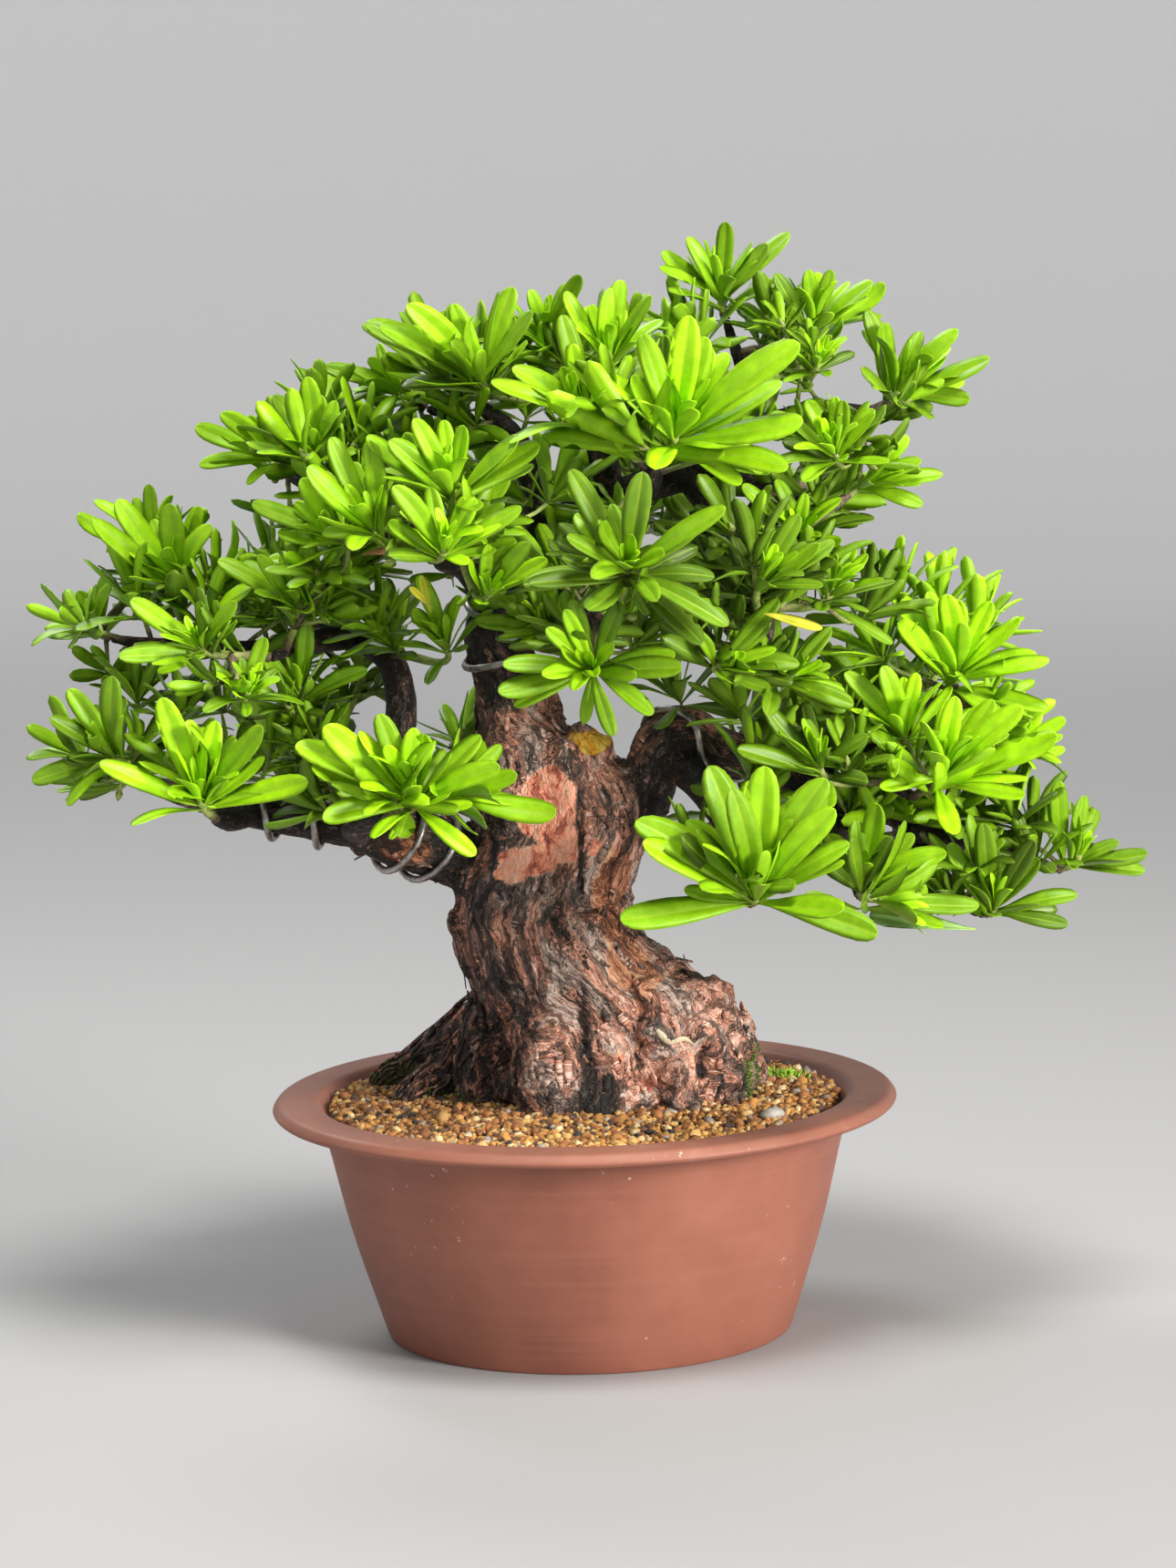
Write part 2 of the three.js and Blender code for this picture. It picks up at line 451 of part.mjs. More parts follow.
// The shoots. Each row: place of the whorl, the way it points, the length of its longest leaves, and,
// for a shoot that shows clearly, a fan of leaves as [angle in the front view, length in that view].
const sprays = {
  left_low_tip: [
    [[-213, -60, 290], [-0.7, -0.3, 0.5], 38, [[-170, 40], [140, 38], [120, 40], [90, 38], [165, 24], [-145, 31]]],
    [[-227, 0, 268], [-0.9, -0.1, 0.2], 32, []],
  ],
  left_low_front: [
    [[-171, -95, 272], [0, -0.5, 0.85], 52, [[160, 49], [107, 54], [80, 41], [52, 45], [20, 50], [35, 36]]],
  ],
  left_low_mid: [
    [[-121, -60, 290], [-0.3, -0.2, 0.85], 40, []],
    [[-127, -50, 316], [0, -0.3, 0.9], 34, [[80, 36], [120, 30], [30, 34]]],
  ],
  left_low_inner: [
    [[-73, -108, 271], [-0.1, -0.55, 0.8], 56,
      [[140, 60], [125, 54], [105, 46], [175, 40], [90, 38], [45, 44], [30, 42], [10, 27], [-40, 33], [-130, 15]]],
    [[-58, -88, 272], [0.8, -0.3, 0.2], 44, [[-8, 50], [20, 38]]],
  ],
  left_mid_tip: [
    [[-226, -6, 343], [-0.4, -0.2, 0.85], 30, [[135, 24], [110, 24], [85, 28], [70, 24], [172, 26]]],
    [[-198, 8, 384], [-0.4, 0.1, 0.85], 34, [[140, 34], [150, 38], [90, 30]]],
  ],
  left_mid_top: [
    [[-183, -20, 366], [-0.4, -0.35, 0.8], 46, [[125, 50], [100, 43], [85, 40], [65, 32], [140, 52], [175, 28]]],
  ],
  left_mid_front: [
    [[-170, -70, 340], [-0.3, -0.6, 0.6], 38, [[145, 40], [175, 40], [95, 24], [60, 28], [-170, 24]]],
    [[-150, -84, 318], [0.3, -0.5, 0.7], 28, [[75, 30], [120, 20]]],
  ],
  left_mid_inner: [
    [[-125, -60, 358], [0, -0.5, 0.8], 40, [[145, 43], [120, 33], [100, 28], [80, 32], [50, 36], [30, 40]]],
    [[-104, -80, 390], [-0.6, -0.4, 0.6], 42, [[150, 44], [115, 37], [165, 30]]],
  ],
  left_high_tip: [
    [[-139, 8, 423], [-0.7, -0.2, 0.6], 40, [[155, 40], [130, 35], [178, 36], [115, 22], [-150, 18]]],
    [[-115, -30, 422], [-0.3, -0.4, 0.85], 40, [[120, 38], [95, 42], [85, 33], [70, 28]]],
  ],
  left_high_front: [
    [[-88, -100, 394], [-0.3, -0.5, 0.8], 46, [[115, 48], [95, 45], [85, 33], [135, 40], [165, 26]]],
    [[-56, -130, 386], [0.1, -0.65, 0.65], 38, [[30, 41], [55, 31], [95, 32], [115, 37], [140, 28], [10, 24]]],
  ],
  left_high_inner: [
    [[-52, -108, 412], [-0.1, -0.4, 0.9], 46, [[140, 46], [125, 40], [110, 40], [80, 30], [45, 42], [32, 45]]],
    [[-38, -122, 365], [0.4, -0.6, 0.6], 34, [[40, 33], [50, 34], [65, 26], [90, 24]]],
  ],
  left_high_low: [
    [[-58, -60, 338], [-0.3, -0.4, 0.85], 32, [[105, 36], [120, 26]]],
  ],
  crown_left: [
    [[-77, 2, 451], [-0.7, -0.2, 0.5], 36, [[155, 40], [150, 31], [130, 26]]],
    [[-38, -46, 458], [-0.6, -0.4, 0.7], 54, [[150, 60], [145, 56], [135, 42], [125, 49], [110, 41], [80, 46], [55, 38]]],
  ],
  crown_mid: [
    [[-8, -20, 475], [-0.2, -0.3, 0.9], 36, [[155, 32], [110, 30], [78, 30], [70, 34], [175, 38]]],
    [[21, -52, 465], [0.05, -0.4, 0.9], 40, [[120, 39], [95, 36], [88, 40], [60, 36]]],
  ],
  crown_front_left: [
    [[11, -100, 443], [-0.3, -0.6, 0.7], 50, [[105, 49], [120, 31], [142, 44], [160, 45], [80, 24]]],
  ],
  crown_front_right: [
    [[49, -118, 434], [0.2, -0.55, 0.8], 60,
      [[130, 42], [115, 36], [98, 50], [85, 54], [75, 50], [60, 46], [40, 66], [28, 54], [6, 52], [-5, 50], [-28, 34]]],
  ],
  crown_peak: [
    [[74, 0, 493], [0.1, -0.2, 0.95], 40, [[45, 44], [30, 31], [55, 34], [85, 34], [115, 36], [135, 36], [150, 31]]],
  ],
  crown_right: [
    [[117, -10, 478], [0.1, -0.2, 0.95], 40, [[30, 39], [42, 38], [70, 30], [95, 26], [120, 32], [145, 28]]],
    [[116, -58, 462], [0.2, -0.5, 0.75], 26, []],
  ],
  right_high_tip: [
    [[156, -10, 445], [0.45, -0.3, 0.8], 46, [[105, 43], [90, 36], [70, 34], [50, 40], [25, 49], [38, 30], [0, 32]]],
    [[122, -80, 422], [-0.2, -0.6, 0.6], 38, [[140, 36], [85, 28], [60, 28]]],
  ],
  right_high_low: [
    [[136, -50, 406], [0.6, -0.4, 0.5], 40, [[45, 32], [30, 34], [10, 39], [-15, 27]]],
    [[104, -62, 384], [0.1, -0.6, 0.4], 36, []],
  ],
  centre_front: [
    [[26, -148, 378], [0, -0.8, 0.45], 50,
      [[120, 52], [125, 36], [100, 32], [80, 44], [78, 36], [38, 40], [35, 50], [0, 37], [-22, 46], [-35, 42],
        [178, 46], [168, 28], [-155, 24], [-70, 20]]],
  ],
  centre_low: [
    [[9, -130, 332], [-0.1, -0.85, 0.3], 44,
      [[168, 40], [-170, 42], [-160, 38], [130, 28], [105, 32], [70, 34], [0, 38], [-35, 32], [-78, 28], [-100, 24]]],
    [[-11, -62, 344], [-0.4, -0.6, 0.3], 32, [[170, 34], [140, 30], [110, 28]]],
  ],
  right_mid_inner: [
    [[85, -108, 366], [0.3, -0.5, 0.75], 42, [[65, 38], [45, 36], [30, 40], [10, 28]]],
    [[119, -70, 357], [0.4, -0.5, 0.7], 38, []],
    [[76, -36, 348], [0, -0.3, -0.9], 40, []],
  ],
  right_mid_low: [
    [[65, -108, 329], [0.4, -0.7, 0.3], 42, [[45, 42], [12, 38], [-20, 26], [110, 20]]],
    [[97, -92, 321], [0.6, -0.5, 0.4], 36, [[42, 32], [-10, 36], [-20, 32]]],
  ],
  right_mid_tip: [
    [[112, -88, 280], [-0.1, -0.4, 0.85], 42, [[130, 37], [155, 42], [100, 26], [42, 26]]],
  ],
  right_front: [
    [[80, -128, 226], [0.05, -0.55, 0.8], 66,
      [[135, 66], [142, 58], [105, 66], [95, 54], [85, 62], [70, 64], [52, 54], [36, 50], [-4, 53], [178, 60],
        [165, 32], [62, 26]]],
  ],
  right_front_outer: [
    [[130, -88, 224], [0, -0.4, 0.9], 40, [[95, 32], [80, 42], [50, 35], [30, 40], [140, 20]]],
    [[134, -112, 222], [0.9, -0.3, -0.1], 46, [[-8, 48]]],
  ],
  right_low_tip: [
    [[193, -60, 206], [0.15, -0.4, 0.9], 44, [[125, 38], [90, 44], [85, 34], [70, 39], [50, 34], [15, 40], [-8, 32]]],
    [[172, -52, 212], [-0.2, -0.3, 0.85], 34, []],
  ],
  right_tip: [
    [[236, -10, 220], [0.4, -0.3, 0.8], 40, [[-4, 34], [95, 42], [35, 26], [12, 32], [105, 36], [82, 34]]],
  ],
  right_mid_front: [
    [[169, -80, 272], [0.25, -0.5, 0.85], 56, [[90, 37], [80, 43], [60, 45], [50, 48], [30, 58], [-5, 38], [178, 30]]],
    [[151, -68, 293], [-0.3, -0.4, 0.8], 40, [[125, 40], [105, 39], [80, 31]]],
  ],
  right_mid_top: [
    [[180, -30, 314], [0.1, -0.3, 0.95], 48,
      [[125, 50], [118, 42], [108, 44], [95, 40], [85, 40], [70, 40], [45, 38], [33, 40], [15, 40], [-10, 44]]],
    [[204, -20, 276], [0.6, -0.3, 0.6], 40, [[30, 32], [55, 30], [0, 28]]],
  ],
};
const spraysWithoutTwin = ['left_mid_tip', 'left_mid_top', 'left_high_tip', 'left_high_low', 'crown_peak',
  'right_tip', 'left_low_tip', 'right_high_tip', 'right_front_outer', 'right_mid_tip', 'crown_left', 'crown_right'];
const spiral = { turn: radians(137.508), inner: 18, outer: 82, count: 14, stride: 5, shake: 12 };
// Leaf lengths and arches: a least value and how far it varies. Lean is away from the front view's plane.
const fanLeaf = { lean: 10, leanSpread: 22, arch: 0.05, archSpread: 0.06 };
const spiralLeaf = { first: 0.95, last: 0.62, size: 0.88, sizeSpread: 0.24, arch: 0.04, archSpread: 0.1 };
const evenShare = 0.618;

// The twin of a shoot behind the trunk, shaken a little
function shootBehind([place, aim, length], draw) {
  const [x, y, z] = behindPoint(...place);
  const drift = () => (draw() - 0.5) * shake.shoot;
  const shaken = [x + drift(), y + drift() * shake.shootDepth, z + drift()];
  return [shaken, [aim[0] + (draw() - 0.5) * shake.aim, -aim[1], aim[2]], length, []];
}

function allSprays() {
  const list = [];
  const draw = seededDraw(5);
  for (const [name, shoots] of Object.entries(sprays)) {
    list.push({ name: `spray_${name}`, shoots, leaves: leavesPerShoot.front });
  }
  for (const [name, shoots] of Object.entries(sprays)) {
    if (spraysWithoutTwin.includes(name)) continue;
    const twins = shoots.map((shoot) => shootBehind(shoot, draw));
    list.push({ name: `spray_${name}_back`, shoots: twins, leaves: leavesPerShoot.back });
  }
  return list;
}

// Every leaf of a shoot: first the fan that shows from the front, then a spiral round the shoot
function shootLeaves([, aim, length, fan], curve, seed) {
  const draw = seededDraw(seed);
  const curveLength = curve.getLength();
  const rootAt = (back) => curve.getPoint(1 - Math.min(0.7, (1 + stem.budLength * back) / curveLength));
  const axis = vec(...aim).normalize();
  const leaves = [];
  fan.forEach(([angle, reach], i) => {
    const lean = radians(fanLeaf.lean + fanLeaf.leanSpread * ((i * evenShare) % 1));
    const flat = radians(angle);
    const way = vec(Math.cos(flat) * Math.cos(lean), -Math.sin(lean), Math.sin(flat) * Math.cos(lean));
    const face = vec(0, -0.85, 0.5).addScaledVector(axis, 0.3);
    const root = rootAt((i * evenShare + 0.3) % 1);
    const arch = fanLeaf.arch + fanLeaf.archSpread * draw();
    leaves.push({ root, way, face, length: reach / Math.cos(lean), arch });
  });
  const side = vec(0, 0, 1).cross(axis).normalize();
  const up = vec(0, 0, 0).crossVectors(axis, side);
  const start = draw() * 2 * Math.PI;
  for (let i = 0; i < spiral.count; i += 1) {
    const share = i / (spiral.count - 1);
    const tilt = radians(mix(spiral.outer, spiral.inner, share ** 0.8) + (draw() - 0.5) * spiral.shake);
    const turn = start + i * spiral.turn;
    const out = side.clone().multiplyScalar(Math.cos(turn)).addScaledVector(up, Math.sin(turn));
    const way = axis.clone().multiplyScalar(Math.cos(tilt)).addScaledVector(out, Math.sin(tilt));
    const root = rootAt(1 - share);
    const face = axis.clone().addScaledVector(out, -0.6).add(vec(0, 0, 0.35));
    const vigour = spiralLeaf.size + spiralLeaf.sizeSpread * draw();
    const size = length * mix(spiralLeaf.first, spiralLeaf.last, share) * vigour;
    const arch = spiralLeaf.arch + spiralLeaf.archSpread * draw();
    leaves.push({ root, way, face, length: size, arch });
  }
  return leaves;
}

// A blade: widest past its middle, arched, with a flat upper face and a keel below
const bladeStations = [[0, 0], [0.36, 0.78], [0.8, 0.92]];

function bladeGeometry({ root, way, face, length, arch }, from = 0) {
  const along = way.clone().normalize();
  const normal = face.clone().addScaledVector(along, -face.dot(along)).normalize();
  const across = vec(0, 0, 0).crossVectors(normal, along);
  const halfWidth = (length * blade.widthShare) / 2;
  const pointAt = (share, sideways, depth) => root.clone()
    .addScaledVector(along, share * length)
    .addScaledVector(across, sideways)
    .addScaledVector(normal, depth - arch * length * share * share);
  const rings = bladeStations.map(([share, width], row) => {
    const place = row === 0 ? from : share;
    const fromRoot = mix(blade.rootHalfWidth, halfWidth * bladeStations[1][1], from / bladeStations[1][0]);
    const reach = row === 0 ? fromRoot : halfWidth * width;
    return [pointAt(place, reach, 0), pointAt(place, -reach, 0), pointAt(place, 0, -blade.keel * (row === 0 ? 0.7 : 1))];
  });
  const tip = pointAt(1, 0, -blade.keel * 0.3);
  const positions = [...rings.flat(), tip].flatMap((point) => [point.x, point.y, point.z]);
  const index = [0, 2, 1];
  for (let r = 0; r < rings.length - 1; r += 1) {
    for (let i = 0; i < 3; i += 1) {
      const a = r * 3 + i;
      const b = r * 3 + ((i + 1) % 3);
      index.push(a, b, a + 3, b, b + 3, a + 3);
    }
  }
  const last = (rings.length - 1) * 3;
  const tipIndex = rings.length * 3;
  for (let i = 0; i < 3; i += 1) index.push(last + i, last + ((i + 1) % 3), tipIndex);
  const geometry = new THREE.BufferGeometry();
  geometry.setAttribute('position', new THREE.BufferAttribute(Float32Array.from(positions), 3));
  geometry.setIndex(index);
  return geometry;
}

// Places on the branches from which a stem may grow
function seatsOnBranches() {
  const seats = [];
  for (const { points } of allBranches()) {
    const curve = curveOf(points);
    const radiusAt = taperOf(points);
    const count = Math.round(curve.getLength() / seat.step);
    for (let i = Math.ceil(count * seat.from); i <= count; i += 1) {
      seats.push({ point: curve.getPoint(i / count), radius: radiusAt(i / count) });
    }
  }
  return seats;
}

function nearestSeat(seats, target) {
  let best = null;
  let bestCost = Infinity;
  for (const place of seats) {
    const above = Math.max(0, place.point.z - target.z + seat.below);
    const cost = place.point.distanceTo(target) + seat.aboveCost * above;
    if (place.radius < seat.largestRadius && cost < bestCost) {
      best = place;
      bestCost = cost;
    }
  }
  return best;
}

// A seat is used once: the ones beside it are taken with it
function takeSeat(seats, target) {
  const taken = nearestSeat(seats, target);
  const left = seats.filter((other) => other.point.distanceTo(taken.point) > seat.spacing);
  seats.splice(0, seats.length, ...left);
  return taken.point;
}

// A stem's route, bent to one side or the other where the straight way is taken
const stemBends = [[0, 0, 0], [0, 0, 9], [0, 0, -9], [9, 0, 0], [-9, 0, 0], [0, 9, 0], [0, -9, 0], [10, -8, 6],
  [-10, 8, 6], [12, 10, -6], [-12, -10, -6]];

function stemCurve(start, end, aim, bend) {
  const reach = start.distanceTo(end);
  const lift = end.clone().addScaledVector(aim, -0.4 * reach).add(vec(...bend));
  const leave = start.clone().lerp(end, 0.35).add(vec(0, 0, 0.04 * reach)).add(vec(...bend));
  return new THREE.CubicBezierCurve3(start, leave, lift, end);
}

function growStems(spray, seats, standing) {
  let main = null;
  for (const [place, aim] of spray.shoots) {
    const end = vec(...place);
    const axis = vec(...aim).normalize();
    const start = main === null ? takeSeat(seats, end) : main.getPoint(0.5);
    const foot = main === null ? stem.footRadius : stem.tipRadius;
    for (const bend of stemBends) {
      const curve = stemCurve(start, end.clone().addScaledVector(axis, stem.past), axis, bend);
      const solid = toSolid(rod(curve, (t) => mix(foot, stem.tipRadius, t), stem.sides, stem.steps));
      const clear = isClear(solid, spray.name, standing);
      if (clear || bend === stemBends.at(-1)) {
        if (main === null) main = curve;
        spray.curves.push(curve);
        spray.solids.push(solid);
        stand(spray.name, solid, standing);
        break;
      }
    }
  }
}

// What already stands, so that nothing new crosses it: the owner's name, the solid and its box
function isClear(solid, owner, standing, room = clearance) {
  const box = solid.boundingBox();
  return standing.every((other) => {
    if (other.owner === owner) return true;
    const apart = [0, 1, 2].some((i) => box.min[i] > other.box.max[i] + room
      || box.max[i] < other.box.min[i] - room);
    return apart || solid.minGap(other.solid, 2 * room) > room;
  });
}

function stand(owner, solid, standing) {
  standing.push({ owner, solid, box: solid.boundingBox() });
}

// The order in which a shoot's leaves are tried: its fan, then steps round the spiral
function leafOrder(fanCount) {
  const order = Array.from({ length: fanCount }, (_, i) => i);
  for (let i = 0; i < spiral.count; i += 1) order.push(fanCount + ((i * spiral.stride) % spiral.count));
  return order;
}

// A leaf may meet its own spray only at its root, and no other node at all
function leafFits(leaf, free, spray, standing) {
  return isClear(leaf, spray.name, standing, leafGap.others)
    && spray.solids.every((solid) => solid.minGap(free, 1) > leafGap.own);
}

function growSprays(list, wood, standing) {
  const seats = seatsOnBranches();
  for (const spray of list) {
    spray.solids = [];
    spray.curves = [];
    growStems(spray, seats, standing);
  }
  stand('trunk', wood, standing);
  let seed = 100;
  for (const spray of list) {
    for (const [number, shoot] of spray.shoots.entries()) {
      seed += 1;
      const leaves = shootLeaves(shoot, spray.curves[number], seed);
      let kept = 0;
      for (const i of leafOrder(shoot[3].length)) {
        if (kept === spray.leaves) break;
        const leaf = toSolid(bladeGeometry(leaves[i]));
        const free = toSolid(bladeGeometry(leaves[i], blade.freeFrom));
        if (leafFits(leaf, free, spray, standing)) {
          stand(spray.name, leaf, standing);
          spray.solids.push(leaf);
          kept += 1;
        } else {
          leaf.delete();
        }
        free.delete();
      }
    }
  }
}

const group = new THREE.Group();
const colours = {
  clay: { color: '#8a5546', roughness: 0.75 },
  soil: { color: '#a67c3d', roughness: 0.95 },
  bark: { color: '#5b4238', roughness: 0.85 },
  wire: { color: '#6b5f59', roughness: 0.4, metalness: 0.8 },
  leaf: { color: '#6aa51e', roughness: 0.45 },
  stone: { color: '#c9c4ba', roughness: 0.7 },
};

function addMesh(name, geometry, colour) {
  const mesh = new THREE.Mesh(geometry, new THREE.MeshStandardMaterial(colours[colour]));
  mesh.name = name;
  group.add(mesh);
}

function build() {
  const wood = leaner(woodSolid(0), woodTolerance);
  const woodRoom = woodSolid(clearance + woodTolerance);
  const standing = [];
  addMesh('pot', potGeometry(), 'clay');
  const bed = toSolid(soilGeometry()).subtract(woodRoom).subtract(toSolid(pebbleGeometry(clearance)));
  addMesh('soil', toGeometry(largestBody(bed)), 'soil');
  addMesh('pebble', pebbleGeometry(0), 'stone');
  addMesh('trunk', toGeometry(wood), 'bark');
  for (const [name, winding] of Object.entries(wires)) {
    const solid = toSolid(wireGeometry(winding));
    stand(name, solid, standing);
    addMesh(name, toGeometry(solid), 'wire');
  }
  const list = allSprays();
  growSprays(list, wood, standing);
  for (const spray of list) {
    const whole = wasm.Manifold.union(spray.solids).subtract(woodRoom);
    addMesh(spray.name, toGeometry(leaner(largestBody(whole), leafTolerance)), 'leaf');
  }
  group.position.set(-footprintCentre.x, -footprintCentre.y, 0);
}

build();

export default group;
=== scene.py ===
"""A buddhist pine bonsai in its round clay pot: the finish of every piece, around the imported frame.

The tables are in millimetres, with the pot's axis at x = 0, y = 0, as in the part's source.
add_piece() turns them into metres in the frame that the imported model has."""
import math
from collections import namedtuple

import bpy
import numpy as np
from mathutils import Matrix, Vector, noise
from mathutils.bvhtree import BVHTree


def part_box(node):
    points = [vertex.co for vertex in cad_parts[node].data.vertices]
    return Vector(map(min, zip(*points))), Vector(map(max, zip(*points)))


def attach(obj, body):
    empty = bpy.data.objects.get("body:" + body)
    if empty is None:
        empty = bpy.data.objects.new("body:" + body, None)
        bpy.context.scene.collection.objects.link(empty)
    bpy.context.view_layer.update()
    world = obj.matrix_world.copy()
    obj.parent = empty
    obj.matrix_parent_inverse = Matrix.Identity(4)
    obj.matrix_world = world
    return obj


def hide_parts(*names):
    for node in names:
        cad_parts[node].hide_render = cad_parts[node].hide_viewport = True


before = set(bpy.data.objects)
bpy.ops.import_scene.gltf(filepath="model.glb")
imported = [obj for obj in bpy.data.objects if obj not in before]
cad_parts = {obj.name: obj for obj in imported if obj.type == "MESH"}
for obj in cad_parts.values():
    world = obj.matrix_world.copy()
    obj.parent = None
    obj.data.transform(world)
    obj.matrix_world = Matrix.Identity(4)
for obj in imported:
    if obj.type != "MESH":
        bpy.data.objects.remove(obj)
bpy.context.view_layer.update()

MM = 0.001
pot_low, pot_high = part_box("pot")
AXIS = np.array([(pot_low.x + pot_high.x) / 2, (pot_low.y + pot_high.y) / 2, 0.0])

# Camera: where the photograph was taken from, in the tables' millimetres, and how it was held
CAMERA = {"place": (5.7, -2250.0, 568.0), "pitch": 7.71, "roll": 1.5, "focal_px": 5227.0,
          "long_side_px": 1720}

# Driving sizes, as in the part's source
POT = {
    "height": 115, "rim": 150, "rim_width": 22, "lip": 6.5, "neck": 124.5, "neck_height": 101, "foot": 98,
    "wall": 8, "floor": 14, "foot_height": 7, "foot_width": 12, "drain": 13,
}
SOIL = {"edge": 111, "crown": 116}
PEBBLE = {"place": (88, -62, 113.5), "half_size": (8.5, 6, 4.5), "turn": 0.5}
WIRE_RADIUS = 1.75
# A blade's width as a share of its length
BLADE_WIDTH = 0.215
# A stem's radii and bud, how far apart stems stand, and the seats on the branches that they grow from
STEM = {"foot": 2.3, "tip": 1.5, "bud_length": 8, "spacing": 9, "seat_step": 6, "seat_from": 0.35,
        "seat_radius": 9}
# Each leaf of a whorl is turned by the golden angle from the one before it
GOLDEN_TURN = math.radians(137.508)
SPIRAL = {"inner": 18, "outer": 82, "count": 14}
# The seed of the first shoot's draws; each shoot after it takes the next number
FIRST_SEED = 101

# What the source leaves out: young leaves at the heart of a whorl, older ones down its stem, small shoots
HEART = {"count": 4, "tilt": 22, "least": 0.3, "most": 0.55, "age": 1.25}
STEM_LEAVES = {"from": 0.22, "spacing": 2.4, "tilt": (48, 84), "stray": (-0.3, 0.3), "size": (0.6, 0.92),
               "arch": (0.02, 0.2), "age": -0.35}
SIDE_SHOOTS = {"first": (0.4, 0.8), "spacing": 19, "tilt": (45, 75), "lift": 0.35, "length": (9, 18),
               "leaves": 10, "size": (0.55, 0.85), "age": 0.0}
# The whorl of a small shoot: its tilts from the lowest leaf to the highest and how far they stray, the
# leaves' lengths and arches, the stretch of twig that bears them, and how much fresher the highest leaf is
SMALL_WHORL = {"tilt": (80, 20), "stray": (-9, 9), "size": (0.8, 1.1), "arch": (0.02, 0.15), "stretch": 5,
               "fresher": 0.3}
INNER_SHOOTS = {"spacing": 12, "length": (12, 26), "leaf": (24, 36), "below": 4}
FILL_LEAVES = 16
# The shares of a stem at which a filling shoot may start
HOLD_SHARES = (0.25, 0.5, 0.75)

# A fan of at least so many measured leaves lets no other leaf stand out of it
FULL_FAN = 4
# How far another leaf may reach, as a share of the measured one that is nearest in direction: within so many
# degrees of that one, and elsewhere
FAN_REACH = {"degrees": 20, "near": 0.95, "elsewhere": 0.32}
# How far down a leaf may point, as the height of its direction: in a full fan, in other whorls, on a stem
FAN_LOWEST = -0.25
WHORL_LOWEST = -0.4
STEM_LOWEST = -0.22

# The gaps in the crown that the photograph looks through, in its view: x, z and half sizes
WINDOWS = [
    (-62, 316, 15, 20), (38, 232, 9, 12), (54, 196, 16, 26), (73, 253, 9, 8), (76, 392, 6, 6),
    (32, 380, 6, 5), (78, 478, 6, 4), (133, 459, 7, 6), (-98, 296, 9, 8), (-188, 243, 34, 12),
    (-224, 250, 16, 10), (136, 186, 26, 12), (196, 183, 26, 7), (42, 275, 17, 15), (60, 283, 16, 9),
]

# Trunk rings: height, left, right, front, back and the slope of the ring's plane
TRUNK_RINGS = np.array([
    [96, -54, 80, -46, 78, 0], [112, -55, 83, -47, 78, 0], [126, -54, 84, -46, 74, 0],
    [146, -52, 79, -44, 66, 0], [158, -52, 68, -44, 58, 0], [171, -54, 52, -43, 52, 0],
    [187, -58, 34, -42, 46, 0], [203, -58, 25, -40, 42, 0], [221, -56, 29, -39, 38, 0],
    [237, -52, 35, -38, 36, 0], [252, -49, 36, -37, 35, 0], [268, -48, 33, -34, 34, -0.1],
    [282, -46, 26, -29, 32, -0.3], [294, -44, 10, -22, 28, -0.45],
], float)
TRUNK_LOBES = {"count": 5, "phase": 0.9, "share": 0.035, "twist": 0.35}

# Surface roots: points as x, y, z, radius
ROOTS = {
    "front_knuckle": [[-15, -14, 170, 18], [-15, -29, 150, 19], [-15, -38, 133, 19], [-13, -42, 96, 17]],
    "front_toe": [[4, -22, 142, 15], [6, -40, 127, 14], [8, -50, 114, 11], [9, -53, 96, 8]],
    "right_front": [[30, 0, 165, 24], [44, -10, 146, 27], [54, -16, 128, 25], [58, -18, 96, 22]],
    "right_end": [[44, 14, 144, 16], [58, 14, 138, 20], [68, 16, 122, 20], [72, 18, 96, 17]],
    "left_front": [[-38, 4, 152, 18], [-42, -8, 132, 18], [-43, -12, 96, 15]],
    "left_back": [[-38, 20, 150, 17], [-60, 28, 134, 14], [-82, 36, 120, 10], [-96, 40, 113, 8],
                  [-102, 42, 100, 5]],
    "left_under": [[-40, 22, 128, 20], [-62, 28, 116, 17], [-82, 34, 106, 12], [-90, 36, 96, 8]],
    "left": [[-42, 6, 142, 14], [-62, 6, 124, 12], [-82, 2, 112, 9], [-94, -2, 99, 5]],
    "back": [[-8, 50, 152, 20], [-16, 74, 130, 15], [-22, 90, 114, 9], [-25, 96, 100, 6]],
    "back_right": [[35, 50, 147, 18], [50, 74, 126, 12], [58, 84, 113, 8], [61, 87, 100, 5]],
}

